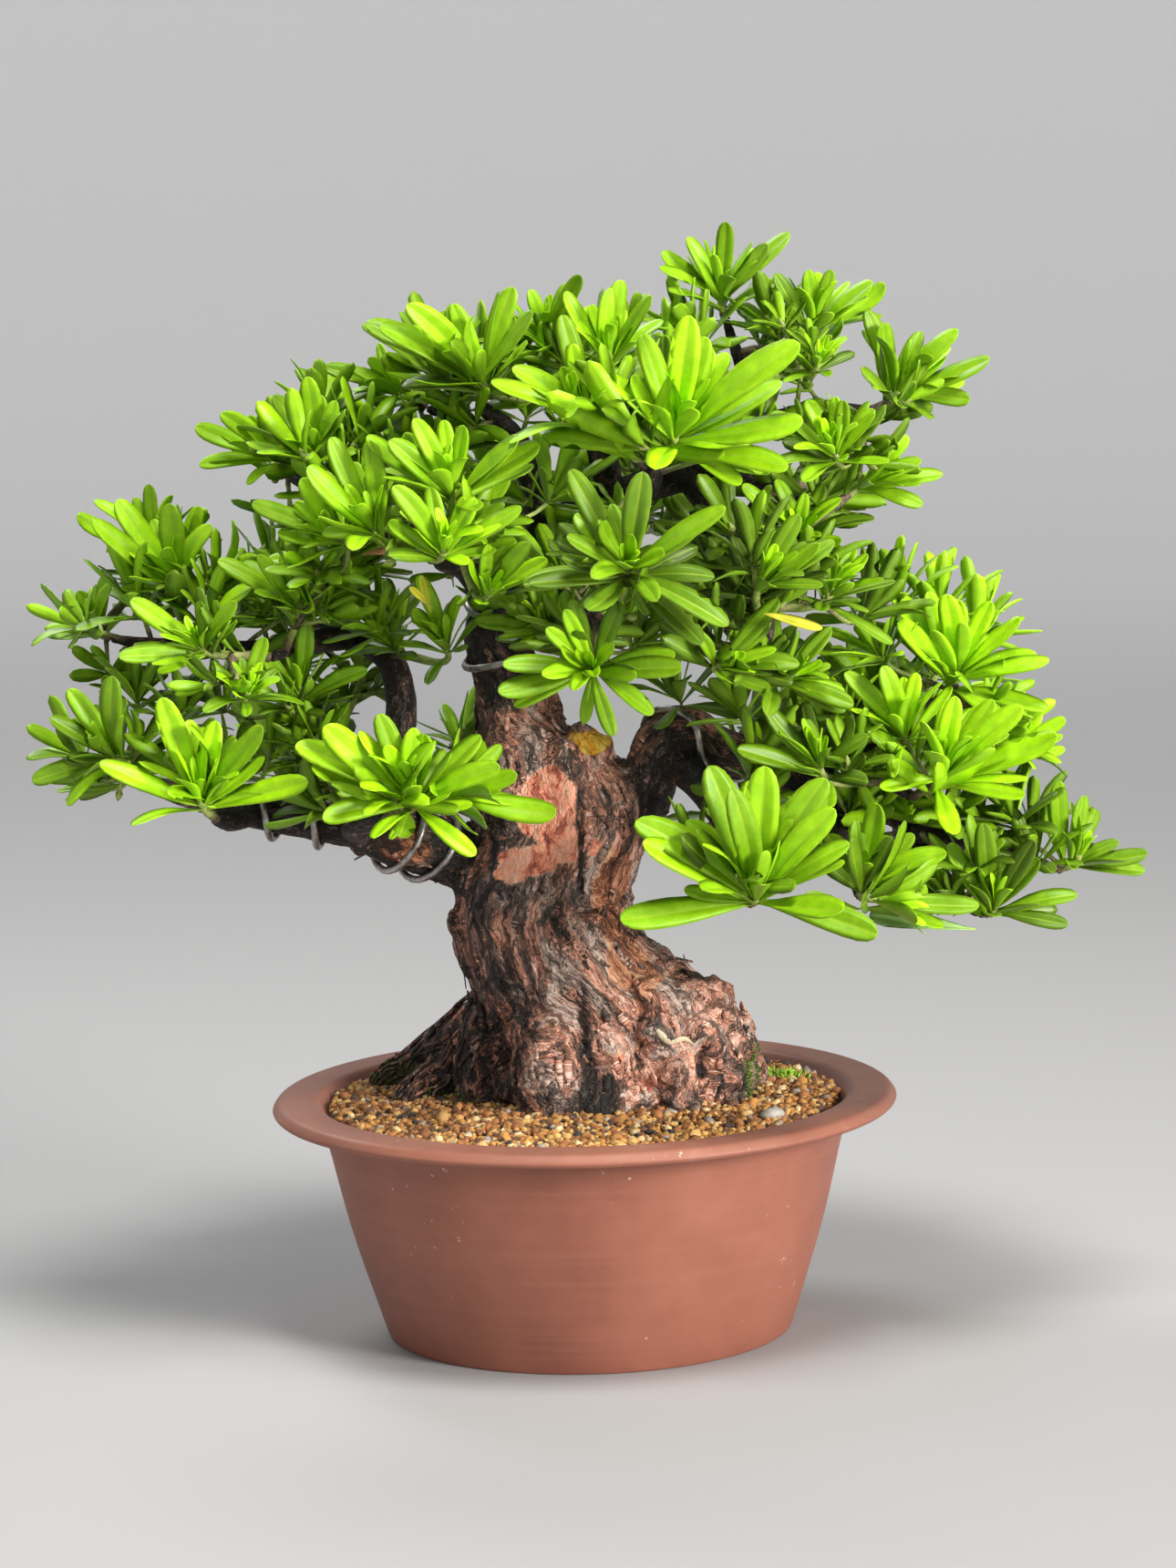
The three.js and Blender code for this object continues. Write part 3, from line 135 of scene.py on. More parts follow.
# Branches: points as x, y, z, radius, and whether a twin grows towards the back
BRANCHES = {
    "leader": (False, [[-20, 4, 270, 24], [-27, 4, 300, 19], [-32, 4, 318, 16], [-37, 5, 336, 14],
                       [-30, 6, 358, 12], [-6, 8, 384, 10], [30, 6, 402, 8], [64, 4, 412, 7],
                       [86, 2, 432, 5], [84, 0, 455, 4], [76, 0, 482, 2.6]]),
    "left_low": (False, [[-30, 0, 221, 17], [-56, -4, 230, 15.5], [-72, -14, 238, 15], [-86, -23, 244, 15],
                         [-102, -29, 249, 11], [-122, -33, 254, 10], [-142, -35, 258, 9.5],
                         [-167, -38, 264, 7], [-196, -36, 272, 5], [-220, -30, 280, 3]]),
    "left_front": (True, [[-98, -28, 248, 8], [-104, -52, 252, 6], [-100, -76, 256, 5],
                          [-88, -96, 262, 3.5]]),
    "left_outer": (True, [[-150, -36, 260, 6], [-160, -58, 258, 5], [-166, -78, 262, 3.5]]),
    "left_rise": (False, [[-92, -20, 246, 10], [-90, -8, 270, 8.5], [-82, 0, 300, 8], [-86, -5, 325, 7],
                          [-104, -16, 338, 6], [-140, -26, 334, 5], [-175, -26, 336, 4.5],
                          [-204, -14, 338, 3.5], [-218, -8, 340, 2.5]]),
    "left_rise_front": (True, [[-110, -18, 337, 5], [-126, -40, 336, 4], [-140, -58, 334, 3]]),
    "left_high": (False, [[-34, 5, 350, 11], [-50, -10, 372, 8], [-70, -26, 384, 7], [-90, -34, 394, 5.5],
                          [-112, -26, 406, 4], [-130, -8, 414, 3]]),
    "left_high_front": (True, [[-48, -8, 370, 7], [-54, -46, 374, 5.5], [-58, -80, 378, 4.5],
                               [-60, -104, 382, 3]]),
    "crown_left": (False, [[-12, 8, 380, 9], [-16, -2, 408, 7], [-24, -12, 430, 5.5], [-40, -22, 446, 3.5]]),
    "crown_left_tip": (False, [[-22, -10, 428, 4.5], [-48, -2, 438, 3.5], [-66, 2, 444, 2.5]]),
    "crown_mid": (True, [[20, 7, 398, 7], [14, -14, 424, 5.5], [8, -30, 444, 4], [6, -36, 456, 2.8]]),
    "crown_front": (True, [[36, 6, 404, 7], [38, -30, 410, 6], [38, -64, 414, 5], [36, -92, 420, 3.5]]),
    "centre_front": (True, [[-24, 4, 362, 9], [-10, -34, 362, 6.5], [2, -72, 356, 5.5], [12, -106, 352, 4],
                            [16, -118, 350, 3]]),
    "crown_right": (False, [[82, 3, 428, 6], [106, 0, 436, 5], [130, -4, 438, 4], [144, -8, 438, 3]]),
    "right_high": (True, [[66, 4, 412, 7], [90, -16, 404, 6], [108, -40, 398, 5], [122, -50, 396, 3.5]]),
    "right_mid": (True, [[56, 4, 410, 7], [74, -20, 386, 6], [84, -50, 362, 5], [90, -74, 346, 4],
                         [88, -84, 334, 3]]),
    "right_low": (False, [[8, 0, 240, 15], [28, -3, 252, 14], [36, -5, 268, 13], [41, -8, 283, 12],
                          [52, -9, 289, 11.5], [65, -8, 281, 10.5], [86, -2, 272, 10], [108, 6, 264, 9],
                          [134, 10, 252, 8], [160, 6, 242, 7], [184, 2, 232, 5.5], [208, -2, 224, 4.5],
                          [228, -6, 217, 3]]),
    "right_front": (True, [[44, -8, 276, 9], [56, -28, 268, 8], [68, -60, 252, 6], [76, -92, 232, 4.5],
                           [78, -112, 222, 3]]),
    "right_rise": (False, [[108, 6, 264, 8], [128, -8, 278, 6.5], [148, -20, 288, 5.5], [166, -26, 298, 4],
                           [174, -28, 304, 3]]),
    "right_rise_front": (True, [[128, -8, 277, 5.5], [134, -34, 274, 5], [146, -54, 268, 4],
                                [156, -64, 262, 3]]),
    "right_lower": (True, [[156, 6, 243, 6.5], [166, -18, 226, 5.5], [176, -36, 212, 4.5],
                           [188, -50, 204, 3]]),
    "right_lower_front": (False, [[120, 8, 258, 6], [124, -26, 240, 5], [128, -56, 226, 4],
                                  [130, -74, 218, 3]]),
}

# Training wires: the branch, the stretch of it as shares, the turns and where the first one starts
WIRES = {
    "wire_left_inner": ("left_low", 0.14, 0.36, -2, 2.09),
    "wire_left_outer": ("left_low", 0.5, 0.74, 2, 1.05),
    "wire_right": ("right_low", 0.22, 0.58, 1, 1.83),
    "wire_leader": ("leader", 0.2, 0.4, -2, 0),
}

# The leafy shoots. Each row: place of the whorl, the way it points, the length of its longest leaves, and
# the fan that shows from the front as [angle, length in that view]. The first number is the spray's
# freshness: from 0, dark old leaves, to 1, new lime green ones.
SPRAYS = {
    "left_low_tip": (0.6, [
        [[-213, -60, 290], [-0.7, -0.3, 0.5], 38,
         [[-170, 40], [140, 38], [120, 40], [90, 38], [165, 24], [-145, 31]]],
        [[-227, 0, 268], [-0.9, -0.1, 0.2], 32, []]]),
    "left_low_front": (0.96, [
        [[-171, -95, 272], [0, -0.5, 0.85], 52,
         [[160, 49], [107, 54], [80, 41], [52, 45], [20, 50], [35, 36]]]]),
    "left_low_mid": (0.58, [
        [[-121, -60, 290], [-0.3, -0.2, 0.85], 40, []],
        [[-127, -50, 316], [0, -0.3, 0.9], 34, [[80, 36], [120, 30], [30, 34]]]]),
    "left_low_inner": (0.88, [
        [[-73, -108, 271], [-0.1, -0.55, 0.8], 56,
         [[140, 60], [125, 54], [105, 46], [175, 40], [90, 38], [45, 44], [30, 42], [10, 27], [-40, 33],
          [-130, 15]]],
        [[-58, -88, 272], [0.8, -0.3, 0.2], 44, [[-8, 50], [20, 38]]]]),
    "left_mid_tip": (0.72, [
        [[-226, -6, 343], [-0.4, -0.2, 0.85], 30, [[135, 24], [110, 24], [85, 28], [70, 24], [172, 26]]],
        [[-198, 8, 384], [-0.4, 0.1, 0.85], 34, [[140, 34], [150, 38], [90, 30]]]]),
    "left_mid_top": (0.75, [
        [[-183, -20, 366], [-0.4, -0.35, 0.8], 46,
         [[125, 50], [100, 43], [85, 40], [65, 32], [140, 52], [175, 28]]]]),
    "left_mid_front": (0.64, [
        [[-170, -70, 340], [-0.3, -0.6, 0.6], 38, [[145, 40], [175, 40], [95, 24], [60, 28], [-170, 24]]],
        [[-150, -84, 318], [0.3, -0.5, 0.7], 28, [[75, 30], [120, 20]]]]),
    "left_mid_inner": (0.73, [
        [[-125, -60, 358], [0, -0.5, 0.8], 40,
         [[145, 43], [120, 33], [100, 28], [80, 32], [50, 36], [30, 40]]],
        [[-104, -80, 390], [-0.6, -0.4, 0.6], 42, [[150, 44], [115, 37], [165, 30]]]]),
    "left_high_tip": (0.8, [
        [[-139, 8, 423], [-0.7, -0.2, 0.6], 40, [[155, 40], [130, 35], [178, 36], [115, 22], [-150, 18]]],
        [[-115, -30, 422], [-0.3, -0.4, 0.85], 40, [[120, 38], [95, 42], [85, 33], [70, 28]]]]),
    "left_high_front": (0.82, [
        [[-88, -100, 394], [-0.3, -0.5, 0.8], 46, [[115, 48], [95, 45], [85, 33], [135, 40], [165, 26]]],
        [[-56, -130, 386], [0.1, -0.65, 0.65], 38,
         [[30, 41], [55, 31], [95, 32], [115, 37], [140, 28], [10, 24]]]]),
    "left_high_inner": (0.8, [
        [[-52, -108, 412], [-0.1, -0.4, 0.9], 46,
         [[140, 46], [125, 40], [110, 40], [80, 30], [45, 42], [32, 45]]],
        [[-38, -122, 365], [0.4, -0.6, 0.6], 34, [[40, 33], [50, 34], [65, 26], [90, 24]]]]),
    "left_high_low": (0.75, [[[-58, -60, 338], [-0.3, -0.4, 0.85], 32, [[105, 36], [120, 26]]]]),
    "crown_left": (0.76, [
        [[-77, 2, 451], [-0.7, -0.2, 0.5], 36, [[155, 40], [150, 31], [130, 26]]],
        [[-38, -46, 458], [-0.6, -0.4, 0.7], 54,
         [[150, 60], [145, 56], [135, 42], [125, 49], [110, 41], [80, 46], [55, 38]]]]),
    "crown_mid": (0.75, [
        [[-8, -20, 475], [-0.2, -0.3, 0.9], 36, [[155, 32], [110, 30], [78, 30], [70, 34], [175, 38]]],
        [[21, -52, 465], [0.05, -0.4, 0.9], 40, [[120, 39], [95, 36], [88, 40], [60, 36]]]]),
    "crown_front_left": (0.75, [
        [[11, -100, 443], [-0.3, -0.6, 0.7], 50, [[105, 49], [120, 31], [142, 44], [160, 45], [80, 24]]]]),
    "crown_front_right": (0.9, [
        [[49, -118, 434], [0.2, -0.55, 0.8], 60,
         [[130, 42], [115, 36], [98, 50], [85, 54], [75, 50], [60, 46], [40, 66], [28, 54], [6, 52],
          [-5, 50], [-28, 34]]]]),
    "crown_peak": (0.65, [
        [[74, 0, 493], [0.1, -0.2, 0.95], 40,
         [[45, 44], [30, 31], [55, 34], [85, 34], [115, 36], [135, 36], [150, 31]]]]),
    "crown_right": (0.7, [
        [[117, -10, 478], [0.1, -0.2, 0.95], 40,
         [[30, 39], [42, 38], [70, 30], [95, 26], [120, 32], [145, 28]]],
        [[116, -58, 462], [0.2, -0.5, 0.75], 26, []]]),
    "right_high_tip": (0.65, [
        [[156, -10, 445], [0.45, -0.3, 0.8], 46,
         [[105, 43], [90, 36], [70, 34], [50, 40], [25, 49], [38, 30], [0, 32]]],
        [[122, -80, 422], [-0.2, -0.6, 0.6], 38, [[140, 36], [85, 28], [60, 28]]]]),
    "right_high_low": (0.6, [
        [[136, -50, 406], [0.6, -0.4, 0.5], 40, [[45, 32], [30, 34], [10, 39], [-15, 27]]],
        [[104, -62, 384], [0.1, -0.6, 0.4], 36, []]]),
    "centre_front": (0.42, [
        [[26, -148, 378], [0, -0.8, 0.45], 50,
         [[120, 52], [125, 36], [100, 32], [80, 44], [78, 36], [38, 40], [35, 50], [0, 37], [-22, 46],
          [-35, 42], [178, 46], [168, 28], [-155, 24], [-70, 20]]]]),
    "centre_low": (0.58, [
        [[9, -130, 332], [-0.1, -0.85, 0.3], 44,
         [[168, 40], [-170, 42], [-160, 38], [130, 28], [105, 32], [70, 34], [0, 38], [-35, 32], [-78, 28],
          [-100, 24]]],
        [[-11, -62, 344], [-0.4, -0.6, 0.3], 32, [[170, 34], [140, 30], [110, 28]]]]),
    "right_mid_inner": (0.46, [
        [[85, -108, 366], [0.3, -0.5, 0.75], 42, [[65, 38], [45, 36], [30, 40], [10, 28]]],
        [[119, -70, 357], [0.4, -0.5, 0.7], 38, []],
        [[76, -36, 348], [0, -0.3, -0.9], 40, []]]),
    "right_mid_low": (0.5, [
        [[65, -108, 329], [0.4, -0.7, 0.3], 42, [[45, 42], [12, 38], [-20, 26], [110, 20]]],
        [[97, -92, 321], [0.6, -0.5, 0.4], 36, [[42, 32], [-10, 36], [-20, 32]]]]),
    "right_mid_tip": (0.55, [
        [[112, -88, 280], [-0.1, -0.4, 0.85], 42, [[130, 37], [155, 42], [100, 26], [42, 26]]]]),
    "right_front": (0.68, [
        [[80, -128, 226], [0.05, -0.55, 0.8], 66,
         [[135, 66], [142, 58], [105, 66], [95, 54], [85, 62], [70, 64], [52, 54], [36, 50], [-4, 53],
          [178, 60], [165, 32], [62, 26]]]]),
    "right_front_outer": (0.67, [
        [[130, -88, 224], [0, -0.4, 0.9], 40, [[95, 32], [80, 42], [50, 35], [30, 40], [140, 20]]],
        [[134, -112, 222], [0.9, -0.3, -0.1], 46, [[-8, 48]]]]),
    "right_low_tip": (0.5, [
        [[193, -60, 206], [0.15, -0.4, 0.9], 44,
         [[125, 38], [90, 44], [85, 34], [70, 39], [50, 34], [15, 40], [-8, 32]]],
        [[172, -52, 212], [-0.2, -0.3, 0.85], 34, []]]),
    "right_tip": (0.5, [
        [[236, -10, 220], [0.4, -0.3, 0.8], 40,
         [[-4, 34], [95, 42], [35, 26], [12, 32], [105, 36], [82, 34]]]]),
    "right_mid_front": (1.0, [
        [[169, -80, 272], [0.25, -0.5, 0.85], 56,
         [[90, 37], [80, 43], [60, 45], [50, 48], [30, 58], [-5, 38], [178, 30]]],
        [[151, -68, 293], [-0.3, -0.4, 0.8], 40, [[125, 40], [105, 39], [80, 31]]]]),
    "right_mid_top": (1.0, [
        [[180, -30, 314], [0.1, -0.3, 0.95], 48,
         [[125, 50], [118, 42], [108, 44], [95, 40], [85, 40], [70, 40], [45, 38], [33, 40], [15, 40],
          [-10, 44]]],
        [[204, -20, 276], [0.6, -0.3, 0.6], 40, [[30, 32], [55, 30], [0, 28]]]]),
}

# Small whorls that fill the crown between the measured ones: x, y, z and the length of a leaf
FILL_SHOOTS = [
    (-116, 0, 440, 34), (-96, -20, 430, 34), (-79, -30, 418, 34), (-60, -20, 424, 36), (-87, 20, 436, 34),
    (-167, -20, 364, 34), (-154, 0, 352, 34), (-141, 10, 370, 32), (-133, 0, 392, 30), (-170, -40, 350, 32),
    (-205, -20, 312, 30), (-185, -30, 304, 30), (-219, -10, 322, 26), (-166, -30, 310, 28),
    (154, -20, 352, 34), (174, -10, 342, 34), (192, 0, 332, 34), (137, -40, 345, 34), (144, -30, 325, 32),
    (63, -10, 474, 34), (49, -20, 462, 36), (99, -5, 476, 34), (206, -20, 244, 34), (216, -20, 224, 32),
    (-7, -60, 406, 34), (-91, -50, 346, 30), (-84, -40, 336, 28), (31, -40, 334, 30), (77, -40, 300, 28),
]

# Old leaves that stand out: spray, foot, tip, face and colour
OLD_LEAVES = [
    ("spray_left_mid_inner", (-93, -118, 386), (-78, -120, 388), (0, -0.7, 0.7), (0.3, 0.13, 0.055)),
    ("spray_right_mid_inner", (86, -120, 355), (113, -122, 349), (0, -0.7, 0.7), (0.55, 0.52, 0.04)),
    ("spray_left_high_low", (-63, -110, 358), (-67, -112, 375), (0, -0.9, 0.3), (0.5, 0.55, 0.03)),
    ("spray_left_high_low", (-62, -110, 360), (-72, -112, 370), (0, -0.9, 0.3), (0.55, 0.5, 0.03)),
    ("spray_right_front_outer", (182, -92, 204), (134, -96, 210), (0, -0.5, 0.8), (0.3, 0.5, 0.16)),
]

# Sprays that don't come again at the back, and the freshness of the ones that do
WITHOUT_TWIN = {
    "left_mid_tip", "left_mid_top", "left_high_tip", "left_high_low", "crown_peak", "right_tip",
    "left_low_tip", "right_high_tip", "right_front_outer", "right_mid_tip", "crown_left", "crown_right",
}
TWIN_FRESHNESS = 0.8
# The range over which a twin is moved, the share of it in depth, and the range over which it is turned
TWIN_SHIFT = 22
TWIN_DEPTH = 0.6
TWIN_TURN = 0.4


# Vectors, draws and noise
def unit(vector):
    vector = np.asarray(vector, float)
    return vector / np.linalg.norm(vector, axis=-1, keepdims=True)


def mix(a, b, t):
    return a + (b - a) * t


def smooth_step(low, high, value):
    t = np.clip((value - low) / (high - low), 0, 1)
    return t * t * (3 - 2 * t)


def turned(x, y, angle):
    """x and y turned by an angle."""
    c, s = np.cos(angle), np.sin(angle)
    return x * c - y * s, x * s + y * c


def circle(count):
    """The angles of count points round a circle."""
    return np.linspace(0, 2 * math.pi, count, endpoint=False)


def seeded_draw(seed):
    """The row of draws from 0 to 1 that the part's source makes from the same seed."""
    mask = 0xFFFFFFFF
    state = seed

    def draw():
        nonlocal state
        state = (state + 0x6D2B79F5) & mask
        t = ((state ^ (state >> 15)) * (1 | state)) & mask
        t = ((t + (((t ^ (t >> 7)) * (61 | t)) & mask)) & mask) ^ t
        return (t ^ (t >> 14)) / 4294967296

    return draw


def noise_at(points, size, seed=0):
    """Smooth noise of about -1 to 1 at each point; size is how far apart its lumps lie."""
    offset = Vector((31.7 * seed, 17.3 * seed, -9.1 * seed))
    return np.array([noise.noise(Vector(p) + offset) for p in points / np.asarray(size, float)])


# Curves: the same ones as in the part's source
def catmull_point(points, t):
    """The point at a share t of a centripetal Catmull-Rom curve through points."""
    count = len(points)
    place = (count - 1) * t
    i = min(int(place), count - 2)
    w = place - i
    p1, p2 = points[i], points[i + 1]
    p0 = points[i - 1] if i > 0 else 2 * p1 - p2
    p3 = points[i + 2] if i + 2 < count else 2 * p2 - p1
    d0, d1, d2 = (np.linalg.norm(b - a) ** 0.5 for a, b in ((p0, p1), (p1, p2), (p2, p3)))
    t1 = ((p1 - p0) / d0 - (p2 - p0) / (d0 + d1) + (p2 - p1) / d1) * d1
    t2 = ((p2 - p1) / d1 - (p3 - p1) / (d1 + d2) + (p3 - p2) / d2) * d1
    return p1 + t1 * w + (-3 * p1 + 3 * p2 - 2 * t1 - t2) * w**2 + (2 * p1 - 2 * p2 + t1 + t2) * w**3


def radius_at(rows, share):
    """The radius at a share of the curve through rows of x, y, z, radius."""
    return np.interp(share * (len(rows) - 1), np.arange(len(rows)), rows[:, 3])


def catmull_line(rows, count, start=0, end=1):
    """count + 1 points along a stretch of the curve through rows, with the radius at each."""
    rows = np.array(rows, float)
    shares = np.linspace(start, end, count + 1)
    return np.array([catmull_point(rows[:, :3], t) for t in shares]), radius_at(rows, shares)


def line_length(line):
    return np.linalg.norm(np.diff(line, axis=0), axis=1).sum()


def lengths_along(line):
    """How far along a line each of its points lies."""
    return np.concatenate([[0], np.cumsum(np.linalg.norm(np.diff(line, axis=0), axis=1))])


def even_line(rows, step, least):
    """The curve through rows with points about a step apart, but at least so many stretches."""
    coarse, _ = catmull_line(rows, 20)
    return catmull_line(rows, max(least, int(line_length(coarse) / step)))


def bezier_line(controls, shares):
    a, b, c, d = controls
    t = np.asarray(shares, float)[:, None]
    return (1 - t)**3 * a + 3 * (1 - t)**2 * t * b + 3 * (1 - t) * t**2 * c + t**3 * d


def cross_frames(line):
    """The direction of a line at each of its points, and two unit vectors across it that turn with it."""
    along = unit(np.gradient(line, axis=0))
    side = np.array([1.0, 0, 0]) if abs(along[0][2]) > 0.8 else np.array([0, 0, 1.0])
    sides = []
    for direction in along:
        side = unit(side - direction * side.dot(direction))
        sides.append(side)
    sides = np.array(sides)
    return along, sides, np.cross(along, sides)


def wound_round(line, reach, angle):
    """A route round a line, at a reach from each of its points and at an angle to it."""
    _, side, up = cross_frames(line)
    return line + reach[:, None] * (np.cos(angle)[:, None] * side + np.sin(angle)[:, None] * up)


# Meshes: a list of blocks, each (points, list of face arrays), joined into one
def ring_walls(rows, sides):
    """Each point's number in rows of rings, and the four-sided faces from ring to ring."""
    index = np.arange(rows * sides).reshape(rows, sides)
    after = np.roll(index, -1, axis=1)
    return index, np.stack([index[:-1], after[:-1], after[1:], index[1:]], axis=-1).reshape(-1, 4)


def turned_over(walls):
    """Four-sided faces that look the other way."""
    return walls[:, [0, 3, 2, 1]]


def loft(rings):
    """A closed skin over rings of the same number of points."""
    index, walls = ring_walls(*rings.shape[:2])
    return rings.reshape(-1, 3), [walls, np.stack([index[0][::-1], index[-1]])]


def tube(line, radii, sides, flatness=1.0):
    """A closed round skin along a line, or a flatter one."""
    _, side, up = cross_frames(line)
    angles = circle(sides)[None, :, None]
    radii = np.broadcast_to(radii, len(line))[:, None, None]
    return loft(line[:, None] + radii * (
        np.cos(angles) * side[:, None] + flatness * np.sin(angles) * up[:, None]))


def turned_rings(radius, level, angles, stretch=1.0):
    """Rings about the upright axis, one for each radius and level."""
    return np.stack([radius[:, None] * np.cos(angles) * stretch, radius[:, None] * np.sin(angles) * stretch,
                     np.broadcast_to(level[:, None], (len(level), len(angles)))], axis=-1)


def join(blocks):
    """One block from several."""
    points, faces, offset = [], [], 0
    for block_points, block_faces in blocks:
        points.append(block_points)
        faces.extend(face + offset for face in block_faces)
        offset += len(block_points)
    return np.concatenate(points), faces


def icosahedron():
    golden = (1 + 5**0.5) / 2
    points = unit(np.array([
        [-1, golden, 0], [1, golden, 0], [-1, -golden, 0], [1, -golden, 0], [0, -1, golden], [0, 1, golden],
        [0, -1, -golden], [0, 1, -golden], [golden, 0, -1], [golden, 0, 1], [-golden, 0, -1],
        [-golden, 0, 1],
    ]))
    faces = np.array([
        [0, 11, 5], [0, 5, 1], [0, 1, 7], [0, 7, 10], [0, 10, 11], [1, 5, 9], [5, 11, 4], [11, 10, 2],
        [10, 7, 6], [7, 1, 8], [3, 9, 4], [3, 4, 2], [3, 2, 6], [3, 6, 8], [3, 8, 9], [4, 9, 5], [2, 4, 11],
        [6, 2, 10], [8, 6, 7], [9, 8, 1],
    ])
    return points, faces


def make_mesh(name, points, faces):
    mesh = bpy.data.meshes.new(name)
    corners = np.concatenate([face.ravel() for face in faces]).astype(np.int32)
    sizes = np.concatenate([np.full(len(face), face.shape[1], np.int32) for face in faces])
    starts = np.concatenate([[0], np.cumsum(sizes)[:-1]]).astype(np.int32)
    mesh.vertices.add(len(points))
    mesh.vertices.foreach_set("co", np.ascontiguousarray(points, np.float32).ravel())
    mesh.loops.add(len(corners))
    mesh.loops.foreach_set("vertex_index", corners)
    mesh.polygons.add(len(sizes))
    mesh.polygons.foreach_set("loop_start", starts)
    mesh.polygons.foreach_set("use_smooth", np.full(len(sizes), True))
    mesh.update(calc_edges=True)
    mesh.validate()
    return mesh


def make_object(name, data):
    thing = bpy.data.objects.new(name, data)
    bpy.context.scene.collection.objects.link(thing)
    return thing


def set_attribute(mesh, name, values):
    """A value or a vector for each vertex."""
    values = np.asarray(values, np.float32)
    kind, field = ("FLOAT", "value") if values.ndim == 1 else ("FLOAT_VECTOR", "vector")
    layer = mesh.attributes.new(name, kind, "POINT")
    layer.data.foreach_set(field, values.ravel())


def add_piece(name, block, materials, replaced=(), attributes=None, face_materials=None):
    """A piece of the tree from a block in table millimetres."""
    points, faces = block
    mesh = make_mesh(name, points * MM + AXIS, faces)
    for material in materials:
        mesh.materials.append(material)
    if face_materials is not None:
        mesh.polygons.foreach_set("material_index", np.asarray(face_materials, np.int32))
    for attribute, values in (attributes or {}).items():
        set_attribute(mesh, attribute, values)
    piece = make_object(name, mesh)
    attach(piece, "root")
    if replaced:
        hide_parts(*replaced)
    return piece


# Materials
class Shader:
    """A node tree that is written one node a line. An input is a socket or a plain value."""

    def __init__(self, name):
        self.material = bpy.data.materials.new(name)
        self.material.use_nodes = True
        self.tree = self.material.node_tree
        self.surface = self.tree.nodes["Principled BSDF"]

    def put(self, socket, value):
        if isinstance(value, bpy.types.NodeSocket):
            self.tree.links.new(value, socket)
        elif socket.type == "RGBA" and len(value) == 3:
            socket.default_value = (*value, 1)
        else:
            socket.default_value = value

    def set(self, **inputs):
        for name, value in inputs.items():
            self.put(self.surface.inputs[name.replace("_", " ")], value)

    def node(self, kind, inputs, output=0, **settings):
        """A new node with its settings, its inputs by name or number, and the output asked for."""
        node = self.tree.nodes.new(f"ShaderNode{kind}")
        for name, value in settings.items():
            setattr(node, name, value)
        for name, value in inputs.items():
            self.put(node.inputs[name], value)
        return node.outputs[output]

    def attribute(self, name, output="Fac"):
        return self.node("Attribute", {}, output, attribute_name=name)

    def place(self):
        return self.node("TexCoord", {}, "Object")

    def math(self, operation, a, b=0.0, c=0.0):
        return self.node("Math", {0: a, 1: b, 2: c}, operation=operation)

    def times(self, a, b):
        return self.math("MULTIPLY", a, b)

    def weighed(self, value, weight, base):
        """A value times its weight, on top of a base."""
        return self.math("MULTIPLY_ADD", value, weight, base)

    def centred(self, value):
        """Noise of 0 to 1 brought to about 0."""
        return self.math("SUBTRACT", value, 0.5)

    def scaled(self, vector, factors):
        return self.node("VectorMath", {0: vector, 1: factors}, operation="MULTIPLY")

    def warped(self, vector, scale, amount):
        """A vector pushed about by noise."""
        push = self.node("TexNoise", {"Vector": vector, "Scale": scale}, "Color")
        return self.node("VectorMath", {0: push, 1: (amount,) * 3, 2: vector}, operation="MULTIPLY_ADD")

    def split(self, vector):
        """The three parts of a vector."""
        return list(self.node("SeparateXYZ", {0: vector}).node.outputs)

    def noise(self, vector, scale, detail=4.0, roughness=0.55):
        inputs = {"Vector": vector, "Scale": scale, "Detail": detail, "Roughness": roughness}
        return self.node("TexNoise", inputs, "Fac")

    def streaks(self, vector, across, along, detail=5.0, roughness=0.6):
        """Noise that runs along the third direction."""
        return self.noise(self.scaled(vector, (across, across, along)), 1, detail, roughness)

    def cells(self, vector, feature, output):
        return self.node("TexVoronoi", {"Vector": vector, "Scale": 1}, output, feature=feature)

    def step(self, value, low, high):
        """0 at low, 1 at high and smooth between them."""
        inputs = {"Value": value, "From Min": low, "From Max": high}
        return self.node("MapRange", inputs, "Result", interpolation_type="SMOOTHSTEP")

    def ramp(self, value, stops):
        """A row of colours, each (place, colour)."""
        result = self.node("ValToRGB", {0: value})
        elements = result.node.color_ramp.elements
        while len(elements) < len(stops):
            elements.new(0.5)
        for element, (place, colour) in zip(elements, stops):
            element.position = place
            element.color = (*colour, 1)
        return result

    def levels(self, value, low, high):
        """One level where a noise is low, and another one where it is high."""
        return self.ramp(value, [(0.3, (low,) * 3), (0.7, (high,) * 3)])

    def blend(self, factor, a, b):
        return self.node("Mix", {0: factor, 6: a, 7: b}, 2, data_type="RGBA")

    def cover(self, colour, mask, share, other):
        """A colour with a share of another one over it where the mask is 1."""
        return self.blend(self.times(mask, share), colour, other)

    def bump(self, height, strength, distance):
        return self.node("Bump", {"Height": height, "Strength": strength, "Distance": distance})


